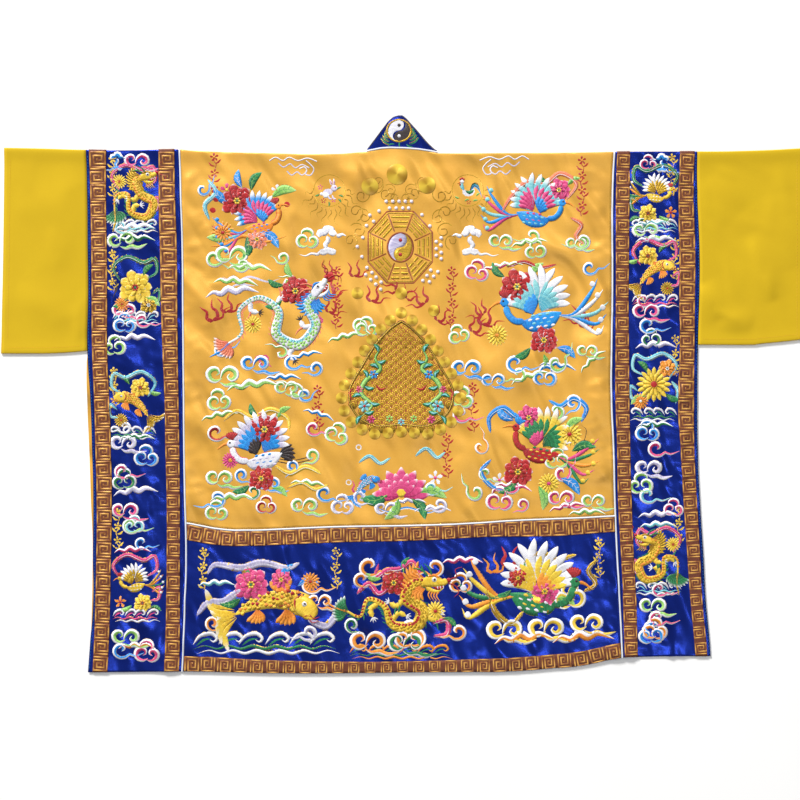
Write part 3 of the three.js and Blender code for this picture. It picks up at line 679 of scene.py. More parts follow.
# %% Woven ribbons
s = Shader("ribbon ground", Roughness=0.62, Sheen_Weight=0.15)
where = s.place()
s.paint(s.node("TexNoise", where, Scale=260, Detail=3), srgb(66, 24, 12), srgb(132, 64, 32))
ribs = s.node("TexWave", where, Scale=150, Distortion=1.5, bands_direction="DIAGONAL")
s.bump(ribs.outputs[1], 0.35, 0.0004)
looks["fret_ribbon"] = s.material

ribbons, ribbon_edges = {}, {}
for name in ("left_outer", "left_inner", "right_inner", "right_outer"):
    side, part = name.split("_")
    edges = ribbon_edges[name] = [down[side + part.title() + letter] for letter in "AB"]
    grids = back_sheet(edges, side_rows, 6, SEAM, SEAM + RIBBON, at_x=SIDE_X[side])
    ribbons[name] = add_sheet(
        f"ribbon_{name}_cloth", grids, "fret_ribbon", f"ribbon_{name}")
for name, rows in (("hem_upper", hem_rows[:2]), ("hem_lower", hem_rows[2:])):
    grids = back_sheet(field_columns, rows, 6, SEAM, SEAM + RIBBON, False)
    ribbons[name] = add_sheet(
        f"ribbon_{name}_cloth", grids, "fret_ribbon", f"ribbon_{name}")

# %% [markdown]
# ## White piping
# Piping is a cord wrapped in white satin and sewn into the seam. A Geometry Nodes tree
# sweeps a round profile along the seam's line, because a cord follows a path. Its sizes are
# the tree's named inputs.

# %% Piping by Geometry Nodes
looks["white_piping"] = cloth_material(
    "white piping satin", (214, 222, 238), (246, 248, 252), 0.45, 0.2, (300, 300), 0.1)
PIPING_RADIUS, PIPING_SIDES, PIPING_STEP = 2.2, 10, 6
PIPING_SINK = 0.7  # how deep the cord's middle lies under the satin's face
PIPING_CURL = (-12, 12, 36, 60)  # degrees round the shoulder roll
HEAD, FOOT = 580, -671  # heights between which the side seams run


def new_tree(name, **sockets):
    """An empty Geometry Nodes tree with named inputs, and short ways to fill it."""
    tree = bpy.data.node_groups.new(name, "GeometryNodeTree")
    for socket, kind in {"Geometry": "Geometry", **sockets, "Material": "Material"}.items():
        tree.interface.new_socket(socket, in_out="INPUT", socket_type="NodeSocket" + kind)
    tree.interface.new_socket("Geometry", in_out="OUTPUT", socket_type="NodeSocketGeometry")
    given = tree.nodes.new("NodeGroupInput").outputs

    def node(kind, *sources, **settings):
        kind = kind if "Node" in kind else "GeometryNode" + kind
        return add_node(tree, kind, *sources, **settings)

    def end(geometry):
        real = node("RealizeInstances", geometry)
        dressed = node("SetMaterial", real, Material=given["Material"])
        tree.links.new(dressed.outputs[0], tree.nodes.new("NodeGroupOutput").inputs[0])

    return tree, given, node, end


def run_tree(piece, tree, slot, replaces=(), **values):
    """Runs the tree on a piece and leaves the result as its plain mesh."""
    modifier = piece.modifiers.new("nodes", "NODES")
    modifier.node_group = tree
    sockets = {s.name: s.identifier for s in tree.interface.items_tree if s.in_out == "INPUT"}
    for name, value in values.items():
        modifier[sockets[name.replace("_", " ")]] = value
    graph = bpy.context.evaluated_depsgraph_get()
    made = bpy.data.meshes.new_from_object(piece.evaluated_get(graph), depsgraph=graph)
    piece.modifiers.clear()
    path, piece.data = piece.data, made
    bpy.data.meshes.remove(path)
    made.name = piece.name
    return dress(piece, replaces)


cord_tree, given, node, end = new_tree("piping cord", Radius="Float", Sides="Int")
profile = node("CurvePrimitiveCircle", given["Sides"], Radius=given["Radius"])
swept = node("CurveToMesh", node("MeshToCurve", given["Geometry"]), profile, Fill_Caps=True)
end(node("SetShadeSmooth", swept))


def add_piping(part, points):
    path = new_object(f"{part}_piping", points, [(k, k + 1) for k in range(len(points) - 1)])
    piece = run_tree(path, cord_tree, "white_piping", [f"piping_{part}"], Sides=PIPING_SIDES,
                     Radius=PIPING_RADIUS * MM, Material=looks["white_piping"])
    print(piece.name, "piping of", len(piece.data.polygons), "faces")


for side, _ in SIDES:
    line = down[f"{side}Piping"]
    y = np.arange(FOOT, HEAD, PIPING_STEP)[::-1]
    y = np.clip(y, hem_foot(line(y)), back_top(line(y)) - SHOULDER_ROLL - 1)
    run = xyz(line(y), y, face(line(y), y) - PIPING_SINK)
    run = run[np.insert(np.diff(y) < -0.5, 0, True)]
    top = float(line(HEAD))
    roll = [(top, *roll_at(float(back_top(top)), turn, -PIPING_SINK)) for turn in PIPING_CURL]
    add_piping(side, np.concatenate([roll, run]))
x = np.linspace(float(down["leftPiping"](-320)) + 2, float(down["rightPiping"](-300)) - 2, 170)
add_piping("hem", xyz(x, hem_piping(x), face(x, hem_piping(x)) - PIPING_SINK))
x = np.linspace(-NECK_EDGE, NECK_EDGE, 40)
add_piping("neck", xyz(x, neck_line(x), UPPER_FACE - 0.5))

# %% [markdown]
# ## Silk and metal thread
# The embroidery is drawn with strokes of satin stitch. A stroke follows a path, swells and
# tapers, and stands a little proud of the cloth, higher in its middle. Strokes of one
# thread colour are joined into one piece. Each point keeps a tone from dark to light, and
# how far it has faded to white, as an embroiderer blends two threads along an edge.

# %% Thread materials
THREADS = {  # slot: dark and light sRGB, then roughness and metallic
    "thread_gold": ((150, 104, 4), (222, 182, 34), 0.36, 0.35),
    "thread_yellow": ((226, 176, 20), (252, 222, 74)),
    "thread_orange": ((226, 118, 14), (252, 168, 52)),
    "thread_red": ((140, 14, 22), (204, 30, 34)),
    "thread_pink": ((188, 26, 96), (236, 84, 146)),
    "thread_salmon": ((218, 98, 66), (242, 146, 110), 0.5),
    "thread_green": ((6, 82, 48), (36, 150, 86)),
    "thread_light_green": ((112, 184, 74), (176, 222, 124)),
    "thread_blue": ((0, 108, 200), (30, 164, 244)),
    "thread_cyan": ((62, 168, 196), (158, 226, 226)),
    "thread_lilac": ((158, 152, 196), (226, 220, 242)),
    "thread_white": ((206, 206, 222), (252, 252, 255)),
    "thread_dark": ((14, 10, 16), (58, 40, 40), 0.5),
    "thread_brown": ((120, 48, 10), (176, 88, 28), 0.5),
}


def thread_material(slot, dark, light, roughness=0.45, metallic=0):
    s = Shader(slot.replace("_", " "), Metallic=metallic, Sheen_Weight=0.25, Roughness=roughness)
    tone, pale = (s.node("Attribute", attribute_name=name).outputs["Fac"]
                  for name in ("tone", "pale"))
    fade = s.node("MapRange", pale, 0.42, 0.62, interpolation_type="SMOOTHSTEP")
    uv = s.node("UVMap", uv_map="weave")
    streak = s.node("TexNoise", s.node("Mapping", uv, Scale=(0.55, 0.05, 1)), Scale=1, Detail=1)
    uneven = s.node("MapRange", streak, 0.3, 0.7, -0.4, 0.4)
    mixed = s.node("Math", tone, uneven, use_clamp=True)
    s.paint(fade, s.mix(mixed, srgb(*dark), srgb(*light)), srgb(250, 250, 255))
    s.bump(s.node("TexWave", uv, Scale=0.28, Distortion=0.5).outputs[1], 0.5, 0.0004)
    return s.material


looks.update({slot: thread_material(slot, *look) for slot, look in THREADS.items()})
print("threads:", ", ".join(name[7:] for name in THREADS))

# %% Strokes
LAYER = 0.2  # how much higher each layer of stitches lies
SINK = 0.12  # edges of a stroke sink into the cloth
CORD = 2.8  # both sides of the outline round a stroke, together
WIDE = 13  # a stroke wider than this gets a finer section
PROFILES = {  # share of the full width along a stroke, from 0 to 1
    "band": lambda t: np.minimum(1, np.minimum(t, 1 - t) * 9) ** 0.5,
    "leaf": lambda t: np.sin(np.pi * t) ** 0.8,
    "tail": lambda t: np.minimum(1, t * 8) ** 0.5 * (1 - t) ** 0.6,
    "petal": lambda t: np.sin(np.pi * t ** 1.7) ** 0.6,
    "round": lambda t: np.sqrt(np.maximum(1 - (2 * t - 1) ** 2, 0)),
    "full": lambda t: np.sin(np.pi * t) ** 0.35,
    "even": lambda t: np.ones_like(t),
}
stock = {slot: [] for slot in THREADS}


class Place:
    """Where a motif lies: it turns the motif's own millimetres into the robe's."""

    def __init__(self, at, size):
        self.at, self.size = at, size

    def __call__(self, x, y, size=1, turn=0, mirror=False):
        """The place round a spot inside this one."""
        spin = size * np.exp(1j * math.radians(turn))

        def at(z):
            z = np.asarray(z, complex)
            return self.at(complex(x, y) + spin * (-np.conj(z) if mirror else z))

        return Place(at, self.size * size)


ROBE = Place(lambda z: z, 1)


def as_complex(points):
    """Points of the plane, given as pairs or as x + yj, as complex numbers."""
    return np.array([complex(*p) if isinstance(p, tuple) else p for p in points])


def smooth_path(points, spacing):
    """A curve through the points, in steps of about `spacing`."""
    ends = np.concatenate([[2 * points[0] - points[1]], points, [2 * points[-1] - points[-2]]])
    run = []
    for a, b, c, d in zip(ends, ends[1:], ends[2:], ends[3:]):
        t = np.arange(max(1, math.ceil(abs(c - b) / spacing)))
        t = t / len(t)
        run.append(b + (c - a) * t / 2 + (2 * a - 5 * b + 4 * c - d) * t ** 2 / 2
                   + (-a + 3 * b - 3 * c + d) * t ** 3 / 2)
    return np.concatenate(run + [points[-1:]])


def patch(edge_a, edge_b, slot, layer, tone, pale, along, width, flat=False):
    """Stitches between two edges, given as complex arrays; edge_b lies left of edge_a."""
    across = np.array([0, 0.25, 0.5, 0.75, 1] if width > WIDE and not flat else [0, 0.5, 1])
    dome = -0.15 if flat else min(0.16 + width * 0.012, 0.34)
    height = layer * LAYER + dome * 4 * across * (1 - across)
    if layer or flat:
        across, height = np.insert(across, [0, len(across)], [0, 1]), np.pad(height, 1)
    height[0] = height[-1] = -SINK
    z = edge_a[:, None] + (edge_b - edge_a)[:, None] * across
    points = xyz(z.real, z.imag, face(z.real, z.imag) + height).reshape(-1, 3)
    values = np.broadcast_arrays(along[:, None], across * width, tone[:, None],
                                 pale(across) if callable(pale) else pale[:, None])
    stock[slot].append([points, grid_faces(*z.shape), *(column.ravel() for column in values)])


def stitch(on, points, width, colour, layer=0, profile="leaf", tone=(0.25, 0.85), pale=None,
           flat=False):
    """A stroke along a path. `pale` is (start, end), or "outer" for a white outer edge."""
    corners = on.at(as_complex(points))
    width = width * on.size
    path = smooth_path(corners, min(max(width * 0.8, 2.4), 7))
    if len(path) < 5:
        path = smooth_path(corners, abs(corners[-1] - corners[0]) / 4)
    steps = np.abs(np.diff(path))
    along = np.insert(np.cumsum(steps), 0, 0)
    t = along / along[-1]
    ahead = np.gradient(path)
    side = 1j * ahead / np.abs(ahead)
    half = np.maximum(PROFILES[profile](t), 0.06) * width / 2
    if pale == "outer":
        turning = np.angle(ahead[1:] / ahead[:-1]).sum()
        fade = (lambda v: 0.94 - v) if turning > 0 else (lambda v: v - 0.06)
    else:
        start, end = pale or (0, 0)
        fade = start + (end - start) * t
    patch(path - side * half, path + side * half, "thread_" + colour, layer,
          tone[0] + (tone[1] - tone[0]) * t, fade, along, width, flat)


def dot(on, x, y, radius, colour, layer=0, tone=(0.4, 0.8), pale=None):
    stitch(on, [(x - radius, y), (x, y), (x + radius, y)], 2 * radius, colour, layer, "round",
           tone, pale)


def ring(on, x, y, radius, width, colour, layer=0):
    turns = np.exp(1j * np.linspace(0, 2 * np.pi, 13)) * radius + complex(x, y)
    stitch(on, list(turns), width, colour, layer, "even")


def edged(on, points, width, colour, edge="gold", layer=0, profile="leaf", pale=None):
    """A stroke with a fine cord of another colour showing on both its sides."""
    stitch(on, points, width + CORD / on.size, edge, layer, profile, (0.6, 0.9), flat=True)
    stitch(on, points, width, colour, layer + 1, profile, pale=pale)


print("profiles:", ", ".join(PROFILES))

# %% [markdown]
# ## Clouds, waves and flames
# These fill the ground between the larger motifs. Each kind of cloud is a few drawn hooks and
# waves, and every hook fades to white on its outer side.

# %% Cloud, flame and ribbon motifs
CLOUDS = {  # strokes of (width, profile, points); a cloud is about 60 mm wide
    "hook": [(9, "tail", [24+20j, 30+27j, 24+35j, 13+34j, 5+25j, 6+12j, 18+3j, 34+4j, 46+12j,
                          60+7j, 84+16j])],
    "lobes": [
        (8.5, "leaf", [20+16j, 28+20j, 27+30j, 17+35j, 6+30j, 2+18j, 8+6j, 22+2j, 34+8j]),
        (8.5, "leaf", [30+4j, 44+0j, 57+8j, 60+20j, 52+30j, 41+28j, 39+19j, 47+15j]),
        (8.5, "leaf", [14+36j, 16+48j, 30+54j, 44+48j, 47+36j, 38+31j]),
    ],
    "wave": [(8, "leaf", [0j, 14+9j, 28+5j, 42+14j, 56+7j, 72+13j, 98+3j])],
    "curl": [(9, "tail", [10+10j, 18+7j, 23+15j, 18+26j, 7+27j, -2+18j, 4j, 13-6j, 28-4j, 44-10j])],
    "double": [
        (8.5, "leaf", [14+14j, 21+19j, 17+28j, 6+28j, -2+19j, 2+6j, 14+1j, 28+8j]),
        (8.5, "leaf", [24+6j, 30+22j, 42+30j, 56+24j, 58+11j, 48+4j, 40+11j, 45+18j]),
        (7, "leaf", [22+0j, 36-8j, 52-6j, 68-12j, 92-6j]),
    ],
    "puff": [
        (12, "band", [6+46j, 8+58j, 20+60j, 24+68j, 36+67j, 40+58j, 52+56j]),
        (8, "tail", [50+52j, 58+50j, 66+54j, 76+50j]),
        (8, "band", [26+50j, 30+38j, 22+28j, 26+16j]),
        (11, "band", [8+14j, 16+8j, 28+12j, 40+8j, 50+12j]),
        (5, "tail", [10+12j, 2+2j, -14+4j, -30-2j, -46+2j]),
    ],
    "thread": [
        (3, "even", [30j, 16+38j, 34+30j, 50+38j, 72+30j, 96+36j, 120+28j]),
        (3, "even", [22+24j, 36+14j, 52+22j, 66+12j, 82+20j, 100+12j]),
        (3, "even", [44+4j, 56-6j, 70+2j, 82-6j, 94+4j, 88+14j, 76+10j]),
        (3, "even", [92+30j, 104+20j, 112+8j, 104-6j, 92-4j, 94+6j]),
    ],
}
THREAD_CLOUD = 3  # strokes no wider than this stay thin lines
CLOUD_BREADTH = 1.5


def cloud(on, kind, colour, edge):
    for width, profile, points in CLOUDS[kind]:
        if width > THREAD_CLOUD:
            width *= CLOUD_BREADTH
            stitch(on, points, width + 1.8, edge, 0, profile, (0.2, 0.5), flat=True)
        stitch(on, points, width, colour, 1, profile, pale="outer")


def clouds(on, table, edge):
    """Clouds from a table: a kind and a colour, then where each cloud lies."""
    for name, spots in table.items():
        for spot in spots:
            cloud(on(*spot), *name.split(), edge)


def flame(on, colour="red"):
    stitch(on, [0j, -9+10j, -3+22j, -10+38j], 11, colour, 0, "tail")
    stitch(on, [-2+2j, 10+2j, 15+14j, 11+26j, 20+40j], 11, colour, 0, "tail")
    stitch(on, [2+0j, 20-2j, 28+8j, 44+8j], 8, colour, 0, "tail")


def waves(on, length, dark, light, crests=5):
    """Breaking waves in a row: a curling crest on each of three long lines."""
    step = length / crests
    for k in range(crests):
        x = -length / 2 + k * step + 4 * math.sin(2.2 * k)
        edged(on, [(x, 0), (x + step * 0.3, 17), (x + step * 0.75, 22), (x + step, 12),
                   (x + step * 0.85, 5), (x + step * 0.7, 10)], 8, light)
        stitch(on, [(x + step * 0.12, -3), (x + step * 0.45, 9), (x + step * 0.8, 12)], 6, dark)
    for row, y in enumerate((-8, -17)):
        line = [(-length / 2 + s * step * 0.5 + row * 8, y + (5 if s % 2 else -1))
                for s in range(2 * crests + 1)]
        edged(on, line, 6, (dark, light)[row])


def blossom(on, radius, colour, petals=5, heart="yellow", layer=0):
    for k in range(petals):
        petal = on(0, 0, 1, 90 + 360 * k / petals)
        stitch(petal, [(radius * 0.12, 0), (radius, 0)], radius * 3.4 / petals, colour, layer,
               "petal", (0.1, 0.9), (-0.2, 0.52))
    dot(on, 0, 0, radius * 0.24, heart, layer + 1)


def leaf(on, length, colour="green", vein="light_green", bend=0.16):
    spine = [(0, 0), (length * 0.5, length * bend), (length, 0)]
    stitch(on, spine, length * 0.38 + 2, "dark", 0, "leaf", (0.1, 0.5), flat=True)
    stitch(on, spine, length * 0.38, colour, 1, "leaf", (0, 1), (-0.3, 0.5))
    stitch(on, spine, length * 0.06, vein, 2, "tail")
    for share in (0.3, 0.5, 0.7):
        root = complex(length * share, length * bend * 4 * share * (1 - share) * 0.95)
        for side in (-1, 1):
            tip = root + length * 0.15 * np.exp(1j * side * 0.8)
            stitch(on, [root, tip], length * 0.03 + 0.6, vein, 2, "tail")


def leaves(on, rows, colours):
    for k, (x, y, turn, length) in enumerate(rows):
        leaf(on(x, y, 1, turn), length, *colours[k % len(colours)])


def peony(on, radius, colour, heart="yellow", edge="dark"):
    """Four rings of uneven petals, each outlined and paler at its tip, round a crown."""
    for row, (reach, count, breadth) in enumerate((
        (1, 10, 0.56), (0.78, 8, 0.54), (0.56, 6, 0.56), (0.36, 5, 0.5),
    )):
        for k in range(count):
            vary = 1 + 0.11 * math.sin(2.4 * k + 1.3 * row)
            turn = 360 * (k + row / 2) / count + 7 * math.sin(1.7 * k + row)
            petal = on(0, 0, vary, turn)
            path = [(radius * 0.1, 0), (radius * reach * 0.6, radius * 0.05), (radius * reach, 0)]
            width = radius * breadth * reach
            stitch(petal, path, width + 2.2, edge, 2 * row, "petal", (0.1, 0.5), flat=True)
            stitch(petal, path, width, colour, 2 * row + 1, "petal", (-0.1, 1.0 - 0.2 * (k % 2)),
                   (-0.4, 0.57 - 0.08 * (row % 2)))
    for k in range(7):
        spot = radius * 0.15 * np.exp(2j * np.pi * k / 6) * (k < 6)
        dot(on, spot.real, spot.imag, radius * 0.07, heart if k < 6 else "green", 8)


def daisy(on, radius, colour, heart="orange"):
    """A many-petalled autumn flower."""
    for layer, (reach, count) in enumerate(((1, 16), (0.68, 12))):
        for k in range(count):
            petal = on(0, 0, 1, 360 * (k + layer / 2) / count)
            path = [(radius * 0.15, 0), (radius * reach, 0)]
            stitch(petal, path, radius * 0.27 + 1.4, "dark", 2 * layer, "petal", (0.2, 0.6),
                   flat=True)
            stitch(petal, path, radius * 0.25, colour, 2 * layer + 1, "petal", (-0.1, 1.0),
                   (-0.3, 0.52))
    dot(on, 0, 0, radius * 0.2, heart, 4)
    ring(on, 0, 0, radius * 0.2, 1.6, "gold", 5)


def lotus(on, radius, colour, edge="gold"):
    """A water lily from the side: pointed petals fan up behind one another."""
    for layer, (reach, turns, breadth) in enumerate((
        (1, (4, 32, 60, 90, 120, 148, 176), 0.42),
        (0.8, (18, 46, 75, 105, 134, 162), 0.38),
        (0.58, (40, 65, 90, 115, 140), 0.34),
    )):
        for turn in turns:
            petal = on(0, 0, 1, turn)
            path = [(radius * 0.05, 0), (radius * reach * 0.55, 0), (radius * reach, 0)]
            if layer == 0:
                stitch(petal, path, radius * breadth + 3, edge, 0)
            stitch(petal, path, radius * breadth, colour, layer + 1, "leaf", (0, 1), (-0.4, 0.6))
    dot(on, 0, radius * 0.12, radius * 0.16, "yellow", 4)


def sprig(on, colour, accent):
    """A small flower with two leaves and a curled stem."""
    stitch(on, [-17j, 3-8j, -1+0j, 2+8j], 3.4, colour, 0, "even")
    blossom(on(1, 9), 11, colour, 5, accent)
    stitch(on, [1-7j, 9-4j, 16+3j], 7, colour)
    stitch(on, [-12j, -8-10j, -15-1j], 7, colour)


def sprigs(x, y, count, step, colour, accent, size=1):
    """A column of sprigs, each leaning and turned the other way from the last."""
    for k in range(count):
        sprig(ROBE(x, y - step * k, size, 8 * (-1) ** k, k % 2), colour, accent)


print("clouds:", ", ".join(CLOUDS))

# %% [markdown]
# ## Birds, dragons and fish
# The large motifs are ordinary creatures and flowers of silk embroidery, drawn from
# scratch. Feathers are one stroke each, laid in fans, the longest ones first. A dragon is
# one tapering stroke with scales, a belly, a crest, four legs and a head sewn over it.

# %% Creature motifs


def fan(on, x, y, turns, lengths, width, colour, layer=0, bend=0.08, pale=None):
    """Feathers from one root; turns and lengths run from the first feather to the last."""
    count = max(3, round(abs(turns[1] - turns[0]) / 11))
    for k in range(count):
        share = k / (count - 1)
        length = lengths[0] + (lengths[1] - lengths[0]) * share
        feather = on(x, y, 1, turns[0] + (turns[1] - turns[0]) * share)
        path = [(length * 0.12, 0), (length * 0.6, length * bend), (length, 0)]
        stitch(feather, path, width + 1.8, "dark", layer, "petal", (0.3, 0.8), flat=True)
        stitch(feather, path, width, colour, layer + 1, "petal", (0, 0.9), pale)


def bird(on, body, wing, tips, tail, crown="red", edge="gold", long_tail=True):
    """A bird that flies to the left with both wings up, about 230 mm long."""
    if long_tail:
        for k, lift_end in enumerate((46, 22, -4, -28, -50)):
            path = [(36, 0), (76, lift_end * 0.1 - 10), (118, lift_end * 0.9 - 6),
                    (150 - 8 * abs(k - 2), lift_end + 14)]
            edged(on, path, 9, tail[k % len(tail)], edge, 0, "leaf")
            dot(on, 136 - 7 * abs(k - 2), lift_end + 4, 6, tips, 2)
    else:
        fan(on, 40, -2, (-32, 28), (42, 42), 10, tail[0], 0)
        for y in (-6, -13):
            stitch(on, [(30, y), (70, y - 12), (112, y - 10)], 3.4, "dark", 0, "even")
    fan(on, 6, 8, (62, 8), (96, 66), 15, tips, 0, 0.1, (-0.2, 0.7))
    fan(on, 6, 8, (66, 14), (66, 46), 13, wing, 1, 0.1, (0, 0.45))
    edged(on, [-34-6j, -12-14j, 20-10j, 52+2j], 38, body, edge)
    for row in range(4):
        for k in range(4 - row % 2):
            x = -18 + 15 * k + 7 * (row % 2)
            stitch(on, [(x, -22 + 8 * row), (x + 9, -20 + 8 * row)], 6, wing
                   if row % 2 else tips, 2)
    fan(on, -6, 6, (150, 74), (70, 104), 16, tips, 1, -0.1, (-0.2, 0.7))
    fan(on, -6, 6, (146, 80), (48, 72), 13, wing, 2, -0.1, (0, 0.45))
    fan(on, -4, 4, (140, 86), (26, 44), 12, tail[0], 3, -0.1)
    edged(on, [-24-6j, -44-2j, -56+14j, -58+32j], 13, body, edge, 1, "band")
    dot(on, -60, 38, 9.5, body, 3)
    stitch(on, [-66+40j, -78+38j, -92+30j], 7, "orange", 3, "tail")
    dot(on, -62, 41, 2.4, "dark", 5)
    fan(on, -56, 44, (118, 48), (22, 22), 6, crown, 3)


SCALE_PITCH = 8


def head_of_dragon(on, body, mane, horn):
    """Head to the right: mane, round skull, raised snout, open jaw, horns and whiskers."""
    fan(on, -10, 4, (214, 118), (60, 46), 7, mane, 1, 0.24, (0, 0.4))
    fan(on, -8, -8, (268, 206), (30, 52), 7, mane, 1, -0.24, (0, 0.4))
    edged(on, [-8-9j, 8-15j, 20-14j, 30-6j], 10, body, "gold", 2, "tail")
    stitch(on, [6-5j, 20-8j, 31+0j], 8, "red", 4)
    edged(on, [-16-2j, 5j, 16+6j, 28+4j], 24, body, "gold", 4, "full")
    edged(on, [14+5j, 27+6j, 38+13j], 13, body, "gold", 5, "full")
    dot(on, 39, 13, 5, "red", 7)
    for x, y in ((17, -3), (23, -2), (29, 0)):
        stitch(on, [(x, y), (x + 2, y - 7)], 3, "white", 7, "tail")
    stitch(on, [-6+14j, 6+19j, 20+14j], 6, mane, 7, "leaf", (0, 0.5))
    dot(on, 8, 10, 5.5, "white", 7)
    dot(on, 9, 10, 2.8, "dark", 8)
    stitch(on, [-6+14j, -20+26j, -42+28j], 6, horn, 7, "tail")
    stitch(on, [-18+25j, -26+38j], 5, horn, 7, "tail")
    stitch(on, [2+17j, -6+32j, -20+42j], 5, horn, 7, "tail")
    stitch(on, [40+15j, 54+24j, 50+38j, 64+46j], 3, "red", 7, "tail")
    stitch(on, [38+7j, 56+2j, 64-10j, 56-22j], 3, "red", 7, "tail")
    for k in range(4):
        stitch(on, [(4 + 6 * k, -14), (6 * k, -25), (7 + 7 * k, -36)], 4.5, mane, 3, "tail")


def dragon(on, spine, body, scales, belly, fins, mane, width=27, claws="white"):
    """A dragon along its spine, head first."""
    path = smooth_path(as_complex(spine), 3)
    along = np.insert(np.cumsum(np.abs(np.diff(path))), 0, 0)
    length = along[-1]
    swell = lambda t: width * (0.62 + 0.38 * np.sin(np.pi * np.minimum(t * 1.6, 1))) * (
        1 - 0.72 * smooth((t - 0.45) / 0.55))

    def at(distance, across=0.0):
        k = min(int(np.searchsorted(along, distance)), len(path) - 2)
        ahead = path[k + 1] - path[k]
        ahead = ahead / abs(ahead)
        return path[k] + 1j * ahead * across * swell(distance / length) / 2, ahead

    for leg, start in enumerate((0.2, 0.34, 0.58, 0.72)):
        side = 1 if leg % 2 else -1
        hip, ahead = at(start * length, 0.4 * side)
        out = 1j * ahead * side
        knee = hip + out * width * 0.75 + ahead * width * 0.35
        foot = knee + out * width * 0.45 - ahead * width * 0.5
        edged(on, [hip, knee, foot], 12, body, "gold", 0, "band")
        for turn in (-0.9, -0.3, 0.3, 0.9):
            toe = foot + (foot - knee) / abs(foot - knee) * 13 * np.exp(1j * turn)
            stitch(on, [foot, toe], 4.4, claws, 2, "tail")
        stitch(on, [knee, knee + out * 10 + ahead * 12, knee + out * 14 + ahead * 26], 6, fins,
               1, "tail")
    for k in range(int(length / 9)):
        root, ahead = at(6 + 9 * k, 0.9)
        tip = root + 1j * ahead * width * 0.3 + ahead * 6
        stitch(on, [root - ahead * 4, tip], 7, fins, 0, "tail", pale=(0, 0.5))
    edges = []
    for side in (-1, 1):
        edges.append(np.array([at(d, side)[0] for d in np.arange(0, length, 5)]))
    t = np.linspace(0, 1, len(edges[0]))
    for grow, slot, layer in ((0.06, "thread_gold", 1), (0, "thread_" + body, 2)):
        a, b = (edges[0] + (edges[0] - edges[1]) * grow, edges[1] + (edges[1] - edges[0]) * grow)
        a, b = on.at(a), on.at(b)
        middle = (a + b) / 2
        ahead = np.gradient(middle)
        if ((b - a) * ahead.conj()).imag.mean() < 0:
            a, b = b, a
        patch(a, b, slot, layer, 0.3 + 0.4 * t, 0 * t, t * length, width * on.size)
    for k in range(int(length * 0.94 / SCALE_PITCH)):
        distance = 4 + SCALE_PITCH * k
        root, ahead = at(distance, -0.72)
        tip, _ = at(distance + 3, -0.3)
        stitch(on, [root, tip], SCALE_PITCH * 0.8, belly, 4, "even")
        for across in ((0.05, 0.65) if k % 2 else (-0.2, 0.35)):
            root, ahead = at(distance, across)
            size = swell(distance / length) * 0.3
            stitch(on, [root, root + ahead * size * 1.1], size, scales, 4, "petal", (0.2, 1))
    end, ahead = at(length * 0.99)
    tail_end = on(end.real, end.imag, 1, math.degrees(np.angle(ahead)))
    fan(tail_end, -6, 0, (-52, 52), (40, 40), 9, fins, 2, 0.15, (0, 0.6))
    stitch(tail_end, [-4+0j, 26+4j, 54+0j], 10, mane, 3, "tail")
    start, ahead = at(2)
    head_of_dragon(on(start.real, start.imag, width / 27, math.degrees(np.angle(-ahead))),
                   body, mane, fins)


def fish(on, body, stripes, fins, tail):
    """A leaping carp, curved, head to the right, about 190 mm long."""
    spine = [82+20j, 60+34j, 22+34j, -20+14j, -52-14j]
    fan(on, -48, -10, (158, 204), (76, 42), 12, tail, 0, 0.2, (0, 0.6))
    fan(on, -48, -10, (270, 214), (76, 42), 12, tail, 0, -0.2, (0, 0.6))
    fan(on, 34, 46, (158, 92), (42, 30), 11, fins, 0, 0.1, (0, 0.45))
    fan(on, 38, 22, (248, 306), (36, 34), 10, fins, 0, 0.1, (0, 0.45))
    fan(on, -14, 8, (244, 304), (34, 28), 9, fins, 0, 0.1, (0, 0.45))
    edged(on, spine, 50, body, "gold", 0, "tail")
    path = smooth_path(as_complex(spine), 9)
    for k in range(3, len(path) - 2):
        ahead = (path[k + 1] - path[k - 1]) / abs(path[k + 1] - path[k - 1])
        half = 21 * (1 - k / len(path)) ** 0.6
        for across in np.arange(-half + 4 * (k % 2), half - 1, 8):
            root = path[k] + 1j * ahead * across
            colour = stripes[(k + int(across // 8)) % len(stripes)]
            stitch(on, [root, root + ahead * 9], 8.4, "brown", 2 + k % 2, "petal", flat=True)
            stitch(on, [root + ahead, root + ahead * 8.4], 6.6, colour, 3 + k % 2, "petal")
    edged(on, [90+12j, 76+28j, 48+38j], 36, body, "gold", 5, "full")
    stitch(on, [58+52j, 50+38j, 54+22j], 4, "red", 8)
    stitch(on, [86+16j, 78+16j, 72+12j], 3, "red", 8, "tail")
    dot(on, 68, 36, 5, "white", 8)
    dot(on, 69, 36, 2.6, "dark", 9)
    for y in (0, 8):
        stitch(on, [(82, 12 + y), (92, 6 + y), (102, 12 + y)], 2.4, "red", 8, "tail")


def streamer(on, points, width, colour, edge="gold", layer=0):
    """A fluttering ribbon with a dark fold line and a light one."""
    edged(on, points, width * 1.15, colour, edge, layer, "full", (0, 0.45))
    shift = as_complex(points)
    stitch(on, list(shift + 0.16j * width), width * 0.16, colour, layer + 2, "leaf", (0, 0.1))
    stitch(on, list(shift - 0.2j * width), width * 0.14, "white", layer + 2, "leaf", (0.6, 1))


print("creatures ready")

# %% [markdown]
# ## The eight trigrams
# A gold octagon with the eight trigrams round the two-part disc, in their old order: three
# whole bars at the top, three broken ones at the foot. Whole and broken bars are read from
# a table, outer bar first.

